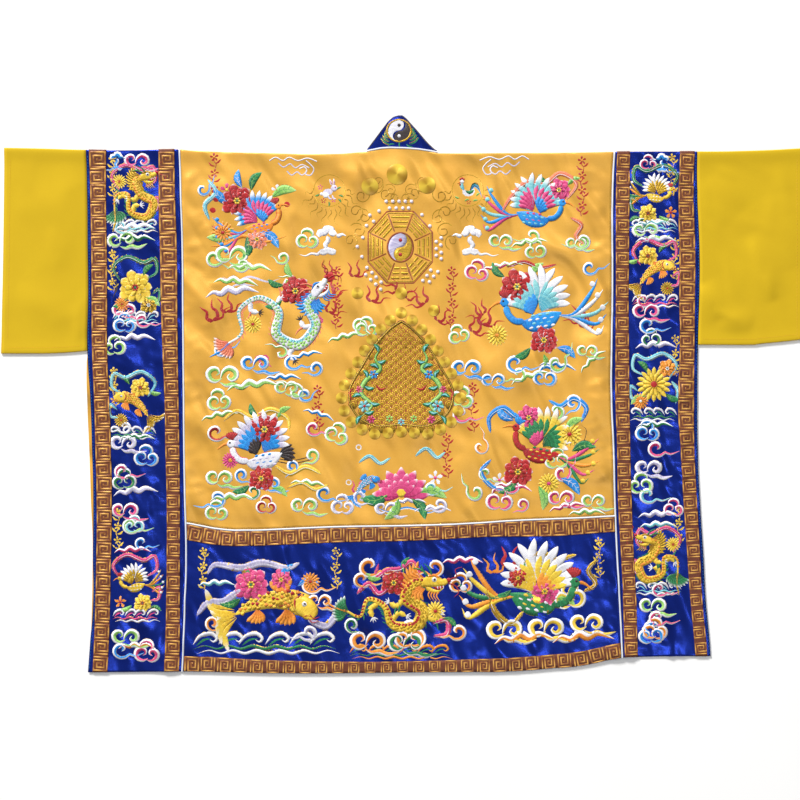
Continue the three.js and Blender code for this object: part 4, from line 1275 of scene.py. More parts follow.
# %% Octagon and discs
TRIGRAMS = {  # turn of each side from the top, and its bars from outside in: 1 is whole
    0: (1, 1, 1), -45: (1, 1, 0), -90: (0, 1, 0), -135: (1, 0, 0),
    180: (0, 0, 0), 135: (0, 0, 1), 90: (1, 0, 1), 45: (0, 1, 1),
}
OCTAGON = (-4, 353)
OCTAGON_WIDTH, OCTAGON_HEIGHT = 77, 86  # half sizes
DISC_SHARE = 0.44  # inner ends of the bars, as a share of the octagon


def two_part_disc(on, radius, left, right, dots, rim, layer=1):
    """A disc parted by an S-curve, each half with a dot of its own colour."""
    turn = np.linspace(0, np.pi, 17)
    upper = 1j * radius / 2 + radius / 2 * np.exp(1j * (np.pi / 2 - turn))
    lower = -1j * radius / 2 + radius / 2 * np.exp(1j * (np.pi / 2 + turn))
    curve = on.at(np.concatenate([upper, lower[1:]]))
    sweep = np.linspace(0, np.pi, len(curve))
    left_edge = on.at(radius * np.exp(1j * (np.pi / 2 + sweep)))
    right_edge = on.at(radius * np.exp(1j * (np.pi / 2 - sweep)))
    t = np.linspace(0, 1, len(curve))
    for a, b, colour in ((left_edge, curve, left), (curve, right_edge, right)):
        patch(a, b, "thread_" + colour, layer, 0.35 + 0.4 * t, 0 * t, t * radius * 2, 2 * WIDE)
    dot(on, 0, radius / 2, radius * 0.15, dots[0], layer + 2)
    dot(on, 0, -radius / 2, radius * 0.15, dots[1], layer + 2)
    ring(on, 0, 0, radius, radius * 0.11 + 1, rim, layer + 1)


def squashed(x, y, share):
    """A place whose heights are scaled by a share."""
    return Place(lambda z: complex(x, y) + z.real + 1j * z.imag * share, 1)


octagon = squashed(*OCTAGON, OCTAGON_HEIGHT / OCTAGON_WIDTH)
corner = OCTAGON_WIDTH / math.cos(math.pi / 8)
for turn, bars in TRIGRAMS.items():
    middle = math.radians(90 + turn)
    ends = [corner * np.exp(1j * (middle + side * math.pi / 8)) for side in (1, -1)]
    stitch(octagon, ends, 5, "brown", 0, "even")
    stitch(octagon, [ends[0] * DISC_SHARE, ends[0]], 5, "brown", 0, "even")
    stitch(octagon, [ends[0] * 0.95, ends[1] * 0.95], 3, "gold", 1, "even")
    for k, whole in enumerate(bars):
        share = 0.85 - 0.135 * k
        a, b = (end * share for end in ends)
        a, b = a + (b - a) * 0.1, b + (a - b) * 0.1
        halves = [(a, b)] if whole else [(a, a + (b - a) * 0.44), (b + (a - b) * 0.44, b)]
        for start, end in halves:
            stitch(octagon, [start, end], 9.4, "brown", 0, "even", (0.3, 0.5))
            stitch(octagon, [start * 0.997, end * 0.997], 5.2, "gold", 1, "even", (0.7, 1))
two_part_disc(octagon, 31, "lilac", "gold", ("red", "red"), "brown")
two_part_disc(squashed(-7, 633, 0.9), 29, "white", "dark", ("dark", "white"), "gold", 0)
print("trigrams:", len(TRIGRAMS))

# %% Roundels, scrolls and flames round the octagon
SUN, MOON = (158, 489), (-174, 489)
for (x, y), kind in ((MOON, "moon"), (SUN, "sun")):
    on = ROBE(x, y)
    ring(on, 0, 0, 38, 2.6, "gold")
    for k in range(13):
        turn = -180 + 15 * k
        length = 34 + 12 * (k % 2) - abs(k - 6) * 2
        tongue = on(40 * math.cos(math.radians(turn)), 42 * math.sin(math.radians(turn)), 1,
                    turn - 24 * math.cos(math.radians(turn)))
        stitch(tongue, [(0, 0), (length * 0.35, 5), (length * 0.7, -4), (length, 3)], 4.2, "gold",
               0, "tail", (0.1, 0.5))
    if kind == "moon":
        stitch(on, [-16-12j, -6-4j, 8-2j], 19, "lilac", 0, "full", (0.7, 1))
        dot(on, -9, -10, 8, "white", 1, (0.8, 1))
        dot(on, -19, -8, 4, "white", 1, (0.8, 1))
        for x in (-4, 6):
            stitch(on, [(x, -10), (x + 4, -19), (x + 10, -20)], 4.5, "lilac", 1, "full", (0.8, 1))
        dot(on, 11, 6, 8, "lilac", 2, (0.8, 1))
        for x, turn in ((7, 112), (11, 92)):
            stitch(on(x, 11, 1, turn), [0j, 18+0j], 5.5, "white", 2)
            stitch(on(x, 11, 1, turn), [3+0j, 14+0j], 2.2, "pink", 3)
        dot(on, 14, 8, 1.8, "red", 4)
        for x, y, colour in ((-22, 8, "pink"), (10, -22, "pink"), (-14, -24, "red")):
            blossom(on(x, y), 7, colour)
        for x, y, turn in ((18, 2, 30), (22, -12, -20), (-24, -8, 200), (-2, -26, -90),
                           (20, -20, -50)):
            leaf(on(x, y, 1, turn), 12)
    else:
        for k in range(6):
            plume = [(6, -2), (11 + k, 15 - k), (21 + 1.5 * k, 18 - 4 * k), (28 + k, 8 - 5 * k)]
            stitch(on, plume, 7, ("dark", "green", "blue")[k % 3], 0, "tail")
        stitch(on, [-13+2j, -4-7j, 8-5j, 15+5j], 17, "white", 0, "full")
        stitch(on, [-9+0j, -15+11j, -13+20j], 9, "cyan", 1, "full")
        stitch(on, [-6+0j, 4-5j, 15+2j], 9, "green", 2, "leaf")
        dot(on, -14, 21, 5, "white", 2)
        stitch(on, [-18+20j, -26+17j], 4, "orange", 3, "tail")
        for x, y in ((-18, 27), (-14, 29), (-10, 27), (-19, 14)):
            dot(on, x, y, 2.6, "red", 3)
        for x in (-2, 5):
            stitch(on, [(x, -12), (x - 1, -21), (x - 6, -23)], 2.6, "orange", 0, "even")
        for x, y, turn in ((-20, -18, 160), (-8, -26, 20), (12, -26, 10), (20, -14, 40)):
            leaf(on(x, y, 1, turn), 12, "light_green", "green")
        blossom(on(2, -28), 6, "red")

SCROLL = [0j, 9+5j, 7+14j, -3+15j, -9+7j, -6-4j, 6-9j, 18-5j, 24+4j]
SCROLLS = [  # x, y, size, turn, mirror
    (-62, 490, 1, 40), (-40, 474, 1, 10), (-18, 466, 0.9, 0, 1), (8, 466, 0.9),
    (30, 476, 1, -10, 1), (52, 492, 1, -30, 1), (-92, 470, 1.1, 60), (-104, 442, 1.1, 90, 1),
    (-84, 428, 1, 130), (88, 470, 1.1, -60, 1), (98, 440, 1.1, -90), (80, 424, 1, -120, 1),
    (-98, 396, 1.1, 150), (-118, 372, 1, 100, 1), (94, 396, 1.1, -150, 1), (114, 372, 1, -100),
    (-52, 512, 0.8, 80, 1), (44, 512, 0.8, -80), (-22, 492, 0.8, 140), (14, 492, 0.8, -140, 1),
]
for spot in SCROLLS:
    stitch(ROBE(*spot), SCROLL, 3.4, "gold", 0, "even", (0.05, 0.4))
FLAMES = {  # colour: x, y, size, turn, mirror
    "red": [(-115, 282, 1, 10), (-74, 222, 1.1), (-14, 250, 0.9, 90), (10, 230, 0.9, -70, 1),
            (56, 218, 1.1, 20, 1), (84, 176, 1, -20), (-178, 232, 1.2, 10), (-176, 196, 1, -10),
            (196, 192, 1, 20, 1), (168, 150, 1.1, -20), (434, 160), (-452, 176, 1.2, 30)],
    "pink": [(-196, 168, 0.9, 20, 1), (-112, -236, 0.8)],
}
for colour, spots in FLAMES.items():
    for spot in spots:
        flame(ROBE(*spot), colour)
print("scrolls:", len(SCROLLS), "flames:", sum(map(len, FLAMES.values())))

# %% [markdown]
# ## The middle of the back
# A pointed medallion stands below the octagon: gold lotus petals lie over each other in
# rows like roof tiles, and a vine with blue and pink flowers climbs either side. Its ring
# of gold rosettes follows in the cell with the other repeated parts.

# %% Pointed medallion
rim_half = np.array([  # down the right side from the point
    -2+196j, 30+173j, 71+128j, 105+73j, 136+19j, 141-12j, 134-41j, 118-66j, 92-84j, 63-94j, 31-92j,
    -2-89j])
MEDALLION_MIDDLE = -2
rim = np.concatenate([rim_half, (2 * MEDALLION_MIDDLE - np.conj(rim_half))[-2:0:-1]])
rim_path = smooth_path(np.append(rim, rim[0]), 3)


def rim_reach(y):
    """Half the width of the medallion inside its rosettes, at the height y."""
    order = np.argsort(rim_half.imag)
    return float(np.interp(y, rim_half.imag[order], rim_half.real[order])) - 16


SCALLOP, SCALLOP_ROW = 11.5, 9.5
for row in range(27):
    y = 166 - row * SCALLOP_ROW
    reach = rim_reach(max(y - 4, -78)) - 4
    count = max(1, int(2 * reach / (2 * SCALLOP)) // 2 * 2 + 1 - row % 2)
    for k in range(count):
        scallop = ROBE(MEDALLION_MIDDLE + (k - (count - 1) / 2) * 2 * SCALLOP, y)
        stitch(scallop, [(-SCALLOP, 0), (0, 0), (SCALLOP, 0)], 2 * SCALLOP, "gold", 0.2 * row,
               "round", (0.2, 0.5), flat=True)
        for radius, width, colour in ((SCALLOP, 1.8, "brown"), (SCALLOP - 2.4, 2.4, "gold"),
                                      (SCALLOP - 5, 1.4, "brown"), (SCALLOP - 7, 2.2, "gold")):
            arc = [radius * np.exp(1j * math.radians(turn)) for turn in (-5, 40, 90, 140, 185)]
            stitch(scallop, arc, width, colour, 0.2 * row + 0.3, "even", (0.8, 1.2))
inner_rim = [MEDALLION_MIDDLE + (z - MEDALLION_MIDDLE - 40j) * 0.87 + 40j for z in rim_path[::3]]
stitch(ROBE, inner_rim + inner_rim[:1], 4.6, "dark", 6, "even", (0.2, 0.5))
stitch(ROBE, inner_rim + inner_rim[:1], 2.4, "gold", 7, "even", (0.5, 0.9))
for side in (False, True):
    vine = ROBE(MEDALLION_MIDDLE, 0, mirror=side)
    edged(vine, [48+112j, 62+86j, 50+60j, 84+34j, 96+2j, 70-26j, 96-54j], 9,
          "light_green", "green", 7, "leaf")
    for x, y, turn, length in (
        (54, 100, 60, 24), (60, 78, 170, 24), (52, 62, 20, 26), (80, 38, 60, 24), (90, 20, 190, 26),
        (92, -2, -10, 26), (78, -18, 190, 28), (80, -34, 20, 24), (94, -50, -60, 26),
        (90, -44, 170, 26),
    ):
        spot = vine(x, y, 1, turn)
        stitch(spot, [(0, 0), (length / 2, 4), (length, 0)], 11, "green", 8, "leaf", (0.2, 1))
        stitch(spot, [(3, 0), (length / 2, 4), (length - 4, 0)], 4, "cyan", 9, "leaf")
    for x, y, radius, colour in ((88, -28, 15, "cyan"), (66, 48, 11, "blue"), (100, 12, 9, "pink"),
                                 (72, -60, 10, "pink")):
        blossom(vine(x, y, 1, 20), radius, colour, 6, "red", 9)
    stitch(vine, [62+24j, 50+12j, 36+16j], 5, "red", 7)
    stitch(vine, [114+16j, 124+4j, 118-14j], 5, "red", 7)
for x, y in ((-30, -58), (28, -58), (-2, -66)):
    blossom(ROBE(x, y), 9, "light_green" if x != -2 else "cyan", 6, "red", 8)
print("medallion: rim of", round(float(np.abs(np.diff(rim_path)).sum())), "mm")

# %% [markdown]
# ## Large motifs of the gold field
# Seven large motifs stand where the panel has room, in bright silk: flowers, cranes, long
# tailed birds and a dragon. They are general ones, drawn for this model.

# %% Large motifs
GREEN, LIME, SKY = ("green", "light_green"), ("light_green", "green"), ("blue", "white")

on = ROBE(-362, 424)
bird(on(26, -16, 0.82, 16, True), "orange", "pink", "blue", ("blue", "pink", "cyan"), "red", "red")
leaves(on, [(20, -34, -40, 60), (-10, -44, -100, 56), (-46, -26, 200, 64), (-40, 40, 150, 58),
            (0, 66, 60, 50), (50, 50, 15, 60), (-22, 72, 100, 44)], (SKY, GREEN, LIME))
edged(on, [-96-70j, -60-64j, -20-44j, 30-58j, 84-44j], 10, "orange", "red")
peony(on(-34, 40), 38, "red")
daisy(on(-68, -36), 28, "orange", "red")
peony(on(14, -52), 26, "salmon", edge="white")
blossom(on(-58, 66), 17, "pink")
blossom(on(62, 66), 15, "white", 5, "red")
for x, y in ((-92, 18), (-84, 44), (86, 32)):
    dot(on, x, y, 8, "red", 0, pale=(0, 0.5))
streamer(on, [-100-6j, -110+30j, -84+60j, -104+92j], 9, "cyan", "white")

on = ROBE(-292, 186)
dragon(on, [92+62j, 64+30j, 84-20j, 46-66j, -8-42j, -4+14j, -50+46j, -98+16j, -92-38j, -128-66j],
       "white", "light_green", "cyan", "salmon", "blue", 27, "dark")
dot(on, 118, 96, 13, "red", 1, pale=(0, 0.4))
flame(on(116, 104, 0.8, 20), "red")
peony(on(36, 62), 36, "red")
leaves(on, [(4, 40, 200, 44), (30, 94, 110, 40), (8, 76, 160, 40)], (GREEN, LIME))
daisy(on(-66, -18), 22, "yellow", "red")
flame(on(-128, 10, 1.1, 20), "red")
flame(on(-40, -92, 0.9, 200), "pink")
for path in ([-140+96j, -108+84j, -74+96j, -30+84j, 92j],
             [-126+66j, -100+78j, -60+74j]):
    stitch(on, path, 7, "lilac", 0, "leaf", (0.7, 1))

on = ROBE(334, 446)
streamer(on, [-96-10j, -70+30j, -36+62j, 10+60j, 46+84j, 84+58j, 60+20j], 11, "salmon", "salmon")
bird(on(-10, -16, 0.95, -6, True), "blue", "pink", "cyan", ("blue", "pink", "cyan"), "pink")
peony(on(42, 44), 28, "pink")
leaves(on, [(64, 56, 30, 34), (20, 60, 140, 34)], (LIME, GREEN))
streamer(on, [70-22j, 96-40j, 84-66j, 104-86j], 9, "salmon", "salmon")

on = ROBE(312, 196)
bird(on(10, -10, 1.18, 8), "blue", "cyan", "white", ("blue", "white", "cyan"), "red")
peony(on(-36, 62), 42, "red")
peony(on(28, -66), 34, "red", edge="white")
leaves(on, [(-66, 86, 130, 46), (-2, 84, 50, 46), (60, -84, -30, 50), (-4, -84, 210, 48),
            (28, -100, -90, 34)], (GREEN, LIME, SKY))
daisy(on(-84, -54), 26, "yellow")
flame(on(-118, -30, 1.2, 0), "red")
flame(on(122, -20, 1.1, 10, True), "red")
streamer(on, [-60+110j, -20+122j, 20+108j, 58+116j], 8, "red", "red")

on = ROBE(318, -136)
streamer(on, [-106+44j, -108+82j, -76+104j, -46+84j, -16+80j, 8+98j], 11, "blue", "blue")
streamer(on, [112+70j, 124+104j, 94+126j, 62+108j, 34+122j], 11, "blue", "blue")
leaves(on, [(-40, -60, 220, 62), (10, -84, -80, 58), (62, -66, -40, 60), (90, 0, 10, 58),
            (76, 46, 40, 52), (-50, 74, 140, 52)], (GREEN, LIME, SKY))
bird(on(6, 4, 1.02, -14), "red", "green", "yellow", ("pink", "green", "orange"), "blue", "gold")
peony(on(-14, 80), 30, "pink")
peony(on(-40, -50), 36, "red", edge="gold")
daisy(on(84, 40), 30, "yellow", "red")
daisy(on(34, -78), 26, "yellow", "pink")
blossom(on(-84, -70), 18, "white", 5, "pink")
streamer(on, [-104-20j, -128-50j, -104-84j, -66-96j], 9, "blue", "white")
stitch(on, [92-16j, 112+10j, 124+48j, 110+64j], 4, "dark", 0, "tail")

on = ROBE(-336, -140)
streamer(on, [-92+78j, -60+100j, -20+84j, 20+104j, 60+84j, 66+56j], 11, "yellow", "orange")
leaves(on, [(-8, 84, 120, 40), (38, 84, 40, 40)], (GREEN, LIME))
bird(on(-6, -10, 1.06, 8), "white", "blue", "lilac", ("dark", "white"), "red", "pink", False)
peony(on(6, 56), 40, "red")
streamer(on, [30-30j, 66-50j, 104-34j, 142-50j], 11, "yellow", "orange")
streamer(on, [60-84j, 96-72j, 128-88j, 160-76j], 8, "yellow", "orange")
peony(on(-2, -62), 32, "red", edge="orange")
leaves(on, [(-30, -78, 200, 44), (24, -84, -30, 42)], (GREEN, LIME))
daisy(on(-76, -18), 20, "pink")

on = ROBE(-8, -214)
streamer(on, [-96+50j, -70+66j, -44+48j, -20+62j], 8, "cyan", "white")
streamer(on, [40+66j, 66+84j, 92+62j, 112+76j], 8, "cyan", "white")
leaves(on, [(-20, -22, 190, 74), (0, -36, 236, 60), (30, -36, -56, 60), (46, -22, -10, 70)],
       (GREEN, LIME))
lotus(on(6, -30), 70, "pink", "white")
fish(on(-82, -14, 0.46, 20), "blue", ("white", "cyan"), "blue", "blue")
blossom(on(88, 14), 18, "white", 5, "pink")
stitch(on, [-60-56j, -20-68j, 20-58j, 70-70j, 104-58j], 8, "blue", pale="outer")
print("strokes so far:", sum(len(rows) for rows in stock.values()))

# %% Clouds and small sprigs of the field
FIELD_CLOUDS = {  # kind and colour: x, y, size, turn, mirror
    "thread lilac": [(-318, 532, 0.95), (304, 534, 0.98, 0, 1)],
    "lobes light_green": [
        (-252, 352, 0.8), (344, 328, 0.75, 0, 1), (-110, 140, 0.8), (120, 118, 0.75, 20),
        (114, -24, 0.85, -10), (-462, -40, 0.85, 10), (-188, -106, 0.85, -20),
        (398, -176, 0.85, 0, 1), (-470, -300, 0.8)],
    "double light_green": [
        (-440, 318, 1.1), (214, 356, 0.8), (398, 352, 0.7), (-462, 30, 1.1), (-464, -214, 0.9),
        (-300, 4, 0.8), (424, 94, 0.7), (-260, -280, 0.9), (436, -268, 0.8)],
    "wave light_green": [
        (-420, 300, 1.1, -4), (262, 352, 0.9, 8), (-178, 124, 0.9, 10), (-420, 8, 1.3, 4),
        (262, 22, 1, 16), (430, 52, 0.8, 40), (-268, -214, 0.9, -8), (-452, 268, 1.1, -6),
        (214, 300, 0.8, 6), (-480, -64, 0.9, 10), (-460, -256, 1.1), (400, -290, 0.9)],
    "hook light_green": [
        (-462, 300, 0.9, 20), (330, 362, 0.8, 0, 1), (452, 348, 0.85, 0, 1),
        (-96, 188, 0.8, 120, 1), (-230, 18, 0.9, 160), (380, 44, 1, 60), (390, -62, 0.9, 0, 1),
        (168, -262, 0.9, -60, 1), (-370, 290, 0.8, -10, 1), (-270, 110, 0.7, 160),
        (300, 34, 0.8, 10, 1), (180, -200, 0.7, -20)],
    "curl light_green": [(-288, 312, 0.8, -50, 1), (-266, 282, 0.7, 190), (-204, -160, 0.9, 0, 1)],
    "lobes pink": [(150, 280, 0.85, -10), (204, -276, 0.95)],
    "wave pink": [(192, 296, 0.8, 6), (354, -282, 0.9, 8), (224, -220, 0.9, -10)],
    "double blue": [(-380, 60, 0.95), (126, 48), (-344, -226, 0.8), (196, 22, 0.8)],
    "hook blue": [
        (-282, 58, 0.9), (250, 52), (-420, -268, 0.95, 10, 1), (-208, -254, 0.9, -10),
        (-440, 84, 0.8, 30), (440, 280, 0.8, 20), (-470, 470, 0.7, 60)],
    "wave blue": [(-330, 34, 0.9), (-268, 82, 0.8, 10), (-238, -40, 0.8, -20), (330, 70, 0.9, -10)],
    "curl blue": [
        (-200, 46, 0.9, -20, 1), (-228, -18, 0.9, 60), (428, -28, 1, 20, 1), (-396, -206, 0.85),
        (-250, -180, 0.8, 20, 1)],
    "lobes blue": [(366, 18, 0.85, -10, 1)],
    "hook pink": [(122, -68, 0.9), (282, -238, 0.8, 0, 1), (392, -216, 0.9, 60), (-230, -100, 0.8)],
    "hook red": [(-466, -112, 0.9)],
    "hook green": [(-340, -252, 0.8, 0, 1)],
    "lobes red": [(-348, -284, 0.72)],
    "double pink": [(356, -262, 0.9)],
    "curl pink": [(300, -276, 0.8, 0, 1)],
    "lobes lilac": [(-168, -286, 0.8)],
    "double lilac": [(-60, -286, 0.8)],
    "wave lilac": [(30, -282, 0.9), (-470, 232, 1.3, 4), (-20, -262, 0.8)],
    "hook lilac": [(108, -284, 0.8, 0, 1)],
    "curl lilac": [(-110, -262, 0.9, 10)],
    "hook orange": [(210, -140, 0.8, 100)],
    "hook cyan": [(58, -246, 0.8, 10)],
}
clouds(ROBE, FIELD_CLOUDS, "dark")
clouds(ROBE, {"puff white": [(-204, 334, 0.92), (190, 334, 0.92, 0, 1)]}, "blue")
SPRIG_COLUMNS = [  # x, y of the first, how many, step
    (-450, 560, 3, 38), (-156, 288, 4, 38), (-202, 4, 3, 38), (120, 288, 4, 38),
    (170, 10, 3, 42), (108, -112, 3, 36), (432, 552, 4, 36),
]
for column in SPRIG_COLUMNS:
    sprigs(*column, "red", "orange")
for x, y in ((-104, -127), (-128, -211), (-257, -268)):
    ring(ROBE, x, y, 6, 4, "white")
print("field clouds:", sum(map(len, FIELD_CLOUDS.values())), "and sprigs")

# %% [markdown]
# ## Blue bands and hem panel
# On blue, gold cord edges every shape. The side bands carry four motifs each, one under
# another, on waves or clouds. The hem panel has three: a leaping carp over waves, a dragon,
# and a long-tailed bird.

# %% Motifs of the side bands
BAND_MOTIFS = [  # kind, x, y, mirror, streamer colour, ground colours
    ("dragon", -644, 470, 0, "pink", ("cyan", "white")),
    ("peony", -640, 250, 0, "green", ("cyan", "white")),
    ("carp", -644, -26, 1, "cyan", ("green", "white")),
    ("bird", -640, -464, 0, "pink", ("pink", "white")),
    ("bird", 608, 470, 1, "green", ("cyan", "white")),
    ("carp", 606, 290, 0, "pink", ("pink", "white")),
    ("daisy", 606, 18, 1, "cyan", ("green", "white")),
    ("dragon", 616, -400, 1, "pink", ("cyan", "white")),
]
BAND_DRAGON = [34+52j, 4+44j, 20+8j, 52-12j, 34-50j, -10-36j, -14+8j, -46+4j, -50-40j]
for kind, x, y, mirror, colour, ground in BAND_MOTIFS:
    on = ROBE(x, y, mirror=mirror)
    streamer(on, [-34+20j, -52+54j, -20+80j, 20+66j, 46+76j, 52+44j, 28+28j], 8, colour)
    streamer(on, [40-10j, 58+2j, 56-26j, 36-30j], 7, colour)
    if kind == "dragon":
        dragon(on(0, 2, 0.92), BAND_DRAGON, "yellow", "gold", "orange", "green", "gold", 22)
        daisy(on(-34, 40), 18, "yellow", "red")
    elif kind == "peony":
        leaves(on, [(-20, -20, 210, 40), (24, -18, -30, 40), (20, 34, 50, 36)], (GREEN, LIME))
        peony(on(0, 6), 40, "yellow", "red", "gold")
        daisy(on(-32, -34), 19, "orange", "red")
        peony(on(32, -36), 21, "gold", "white")
        stitch(on, [-50+30j, -44+8j, -54-20j], 7, "dark")
    elif kind == "daisy":
        leaves(on, [(-26, -16, 200, 40), (22, -22, -30, 40), (18, 34, 50, 36)], (GREEN, LIME))
        daisy(on(2, 6), 42, "yellow", "red")
        peony(on(-30, 44), 22, "orange", "white", "gold")
        daisy(on(34, -34), 20, "orange", "white")
        streamer(on, [-50-40j, -56-10j, -40+14j], 8, "cyan")
    elif kind == "carp":
        fish(on(-6, -10, 0.62, 14), "yellow", ("gold", "orange"), "orange", "gold")
        peony(on(-16, 42), 24, "yellow", "red", "gold")
        leaves(on, [(10, 50, 40, 30), (-38, 34, 190, 28)], (GREEN, LIME))
        daisy(on(30, -36), 17, "gold", "red")
    else:
        bird(on(-4, 6, 0.52, 6), "yellow", "gold", "white", ("gold", "orange", "green"))
        peony(on(18, -36), 22, "yellow", "red", "gold")
        leaves(on, [(36, -46, -20, 28), (-8, -42, 200, 30)], (GREEN, LIME))
        blossom(on(-36, -34), 15, "orange", 5, "red")
    waves(on(0, -68, 0.72), 150, *ground, crests=4)
BAND_CLOUDS = {  # kind and colour: x, y, size, turn, mirror
    "puff blue": [(-700, 536, 0.6), (640, 532, 0.6, 0, 1)],
    "double pink": [(-660, 548, 0.85), (-690, 190, 0.8), (-690, -292, 0.9), (560, 186, 0.9)],
    "double light_green": [
        (-698, 352, 0.95, 10), (-690, -596, 0.95), (560, 378, 0.9, 6), (576, -520, 0.9)],
    "wave green": [(-690, 366), (-680, -110, 0.9), (562, -80, 0.9)],
    "lobes blue": [(-690, 150, 0.8), (-640, -170, 0.85), (562, -110, 0.85), (626, -596, 0.9, 0, 1)],
    "hook pink": [
        (-640, 160, 0.8), (564, 210, 0.7), (600, -486, 0.8), (-690, -204, 0.9), (590, -150, 0.9),
        (592, -556, 0.9)],
    "wave lilac": [(-690, 128), (-692, -244, 1.1, 4), (560, 364), (560, 110), (566, -296)],
    "wave white": [(-690, 392, 1, 2)],
    "hook cyan": [(-690, 384, 0.8), (570, -262, 0.9)],
    "hook white": [(-650, -94, 0.7, 0, 1)],
    "wave pink": [(-690, -380, 0.9)],
    "hook blue": [(-640, -372, 0.7), (-694, -634, 0.9), (570, 146, 0.9)],
    "wave cyan": [(560, 404, 0.9), (570, -320, 0.9)],
    "hook green": [(590, 396, 0.7, 0, 1)],
    "lobes light_green": [(-664, 96, 0.8, 0, 1), (600, -236, 0.85, 0, 1)],
    "double lilac": [(-694, -130, 0.9), (566, -190, 0.9)],
    "lobes green": [(-640, -226, 0.85, 0, 1), (620, 118, 0.7, 0, 1)],
    "hook light_green": [(-670, -334, 0.9)],
    "lobes cyan": [(-620, -330, 0.7, 0, 1)],
    "lobes pink": [(-640, -640, 0.9), (572, 540, 0.6), (630, -290, 0.7)],
    "wave orange": [(-680, -610, 0.9)],
    "lobes orange": [(578, -586, 0.9)],
}
clouds(ROBE, BAND_CLOUDS, "gold")
for x, y in ((-694, 556), (-694, 330), (-690, 48), (-682, -290), (-476, -384), (-158, -384),
             (472, -360), (648, 560), (656, 358), (656, 126), (664, -280)):
    sprigs(x, y, 3, 34, "yellow", "gold", 0.9)

# %% Motifs of the hem panel
on = ROBE(-316, -500)
for path in ([-150+70j, -130+92j, -70+84j, -20+96j, 40+84j, 70+96j],
             [-176-30j, -150+0j, -110+4j, -70+30j, -30+34j],
             [90-40j, 130-56j, 150-40j, 168-10j]):
    streamer(on, path, 15, "lilac")
leaves(on, [(-30, 44, 120, 50), (30, 50, 60, 50), (-70, 10, 190, 56), (66, 40, 10, 50)],
       (GREEN, SKY))
fish(on(-14, -26, 1.28, -14), "yellow", ("yellow", "orange", "yellow", "red", "gold"),
     "orange", "yellow")
peony(on(-46, 44), 42, "pink", "yellow", "gold")
peony(on(26, 56), 26, "pink", "yellow", "gold")
daisy(on(96, 50), 24, "orange", "red")
stitch(on, [-60-10j, -30+6j, 2j], 12, "green")
clouds(on, {
    "hook orange": [(76, 22)], "double orange": [(96, -8, 0.8)], "wave cyan": [(-172, 40, 0.9)],
    "hook lilac": [(112, -92, 0.9, 0, 1)], "curl orange": [(-150, -62, 0.9)]}, "gold")
waves(on(-14, -100, 1.2), 285, "green", "white", 6)

on = ROBE(4, -498)
streamer(on, [-112+20j, -84+44j, -60+20j, -30+40j], 11, "pink")
streamer(on, [-60+92j, -66+60j, -40+76j, -8+80j, 20+96j, 38+60j, 22+30j], 11, "pink")
streamer(on, [70-50j, 104-44j, 104-76j, 72-82j], 11, "pink")
clouds(on, {
    "hook orange": [(-120, 34, 0.9), (150, -92, 0.9, 0, 1)], "lobes orange": [(112, 24, 0.8)],
    "wave pink": [(92, 92)], "curl green": [(-136, -68, 0.9)]}, "gold")
clouds(on, {
    "hook orange": [(-106, 60, 1.1), (96, 60, 1, 0, 1)], "double orange": [(-120, -112, 1.2)],
    "double green": [(-30, -116, 1.2)], "lobes orange": [(50, -108, 1.1, 0, 1)]}, "dark")
dragon(on, [66+44j, 28+46j, 6+10j, 44-20j, 28-58j, -26-54j, -46-10j, -86+6j, -104-34j, -140-20j],
       "yellow", "gold", "red", "green", "orange", 30)
peony(on(-24, 46), 32, "red", "yellow", "gold")
daisy(on(76, -22), 25, "yellow", "red")
leaves(on, [(0, 70, 70, 40), (-54, 56, 160, 40), (92, -40, -30, 40)], (GREEN, LIME))
waves(on(-10, -122, 0.8), 300, "green", "orange", 6)

on = ROBE(322, -480)
streamer(on, [-120+10j, -96-44j, -60-70j, -30-40j], 11, "gold", "yellow")
streamer(on, [-30+76j, 10+98j, 50+84j, 96+96j], 11, "gold", "yellow")
bird(on(6, -10, 1.34, -8, True), "green", "yellow", "white", ("orange", "yellow", "green"), "red")
peony(on(20, 8), 36, "pink", "yellow", "gold")
peony(on(-44, 40), 27, "red", "yellow", "orange")
leaves(on, [(-10, 44, 120, 40), (50, -10, -20, 46), (-60, 10, 200, 44)], (GREEN, LIME))
flame(on(-70, 66, 1.3), "red")
flame(on(-104, 52, 1.1, 20), "orange")
streamer(on, [112+6j, 142+26j, 124+58j, 146+84j], 9, "gold", "yellow")
clouds(on, {
    "lobes yellow": [(116, -30, 1.1, 2, 1)],
    "double yellow": [(-110, -104, 1.2, 2), (-10, -100, 1.2, 2), (90, -86, 1.1, 2)],
    "wave orange": [(-100, -118, 1.5, 2), (40, -116, 1.5, 2)]}, "dark")
print("strokes:", sum(len(rows) for rows in stock.values()))

# %% Collar peak embroidery and cords along the ribbons


def above_hem(x, y, room):
    """The part of a line down the robe that ends `room` above the hem."""
    return (x + 1j * y)[y > hem_foot(x) + room]


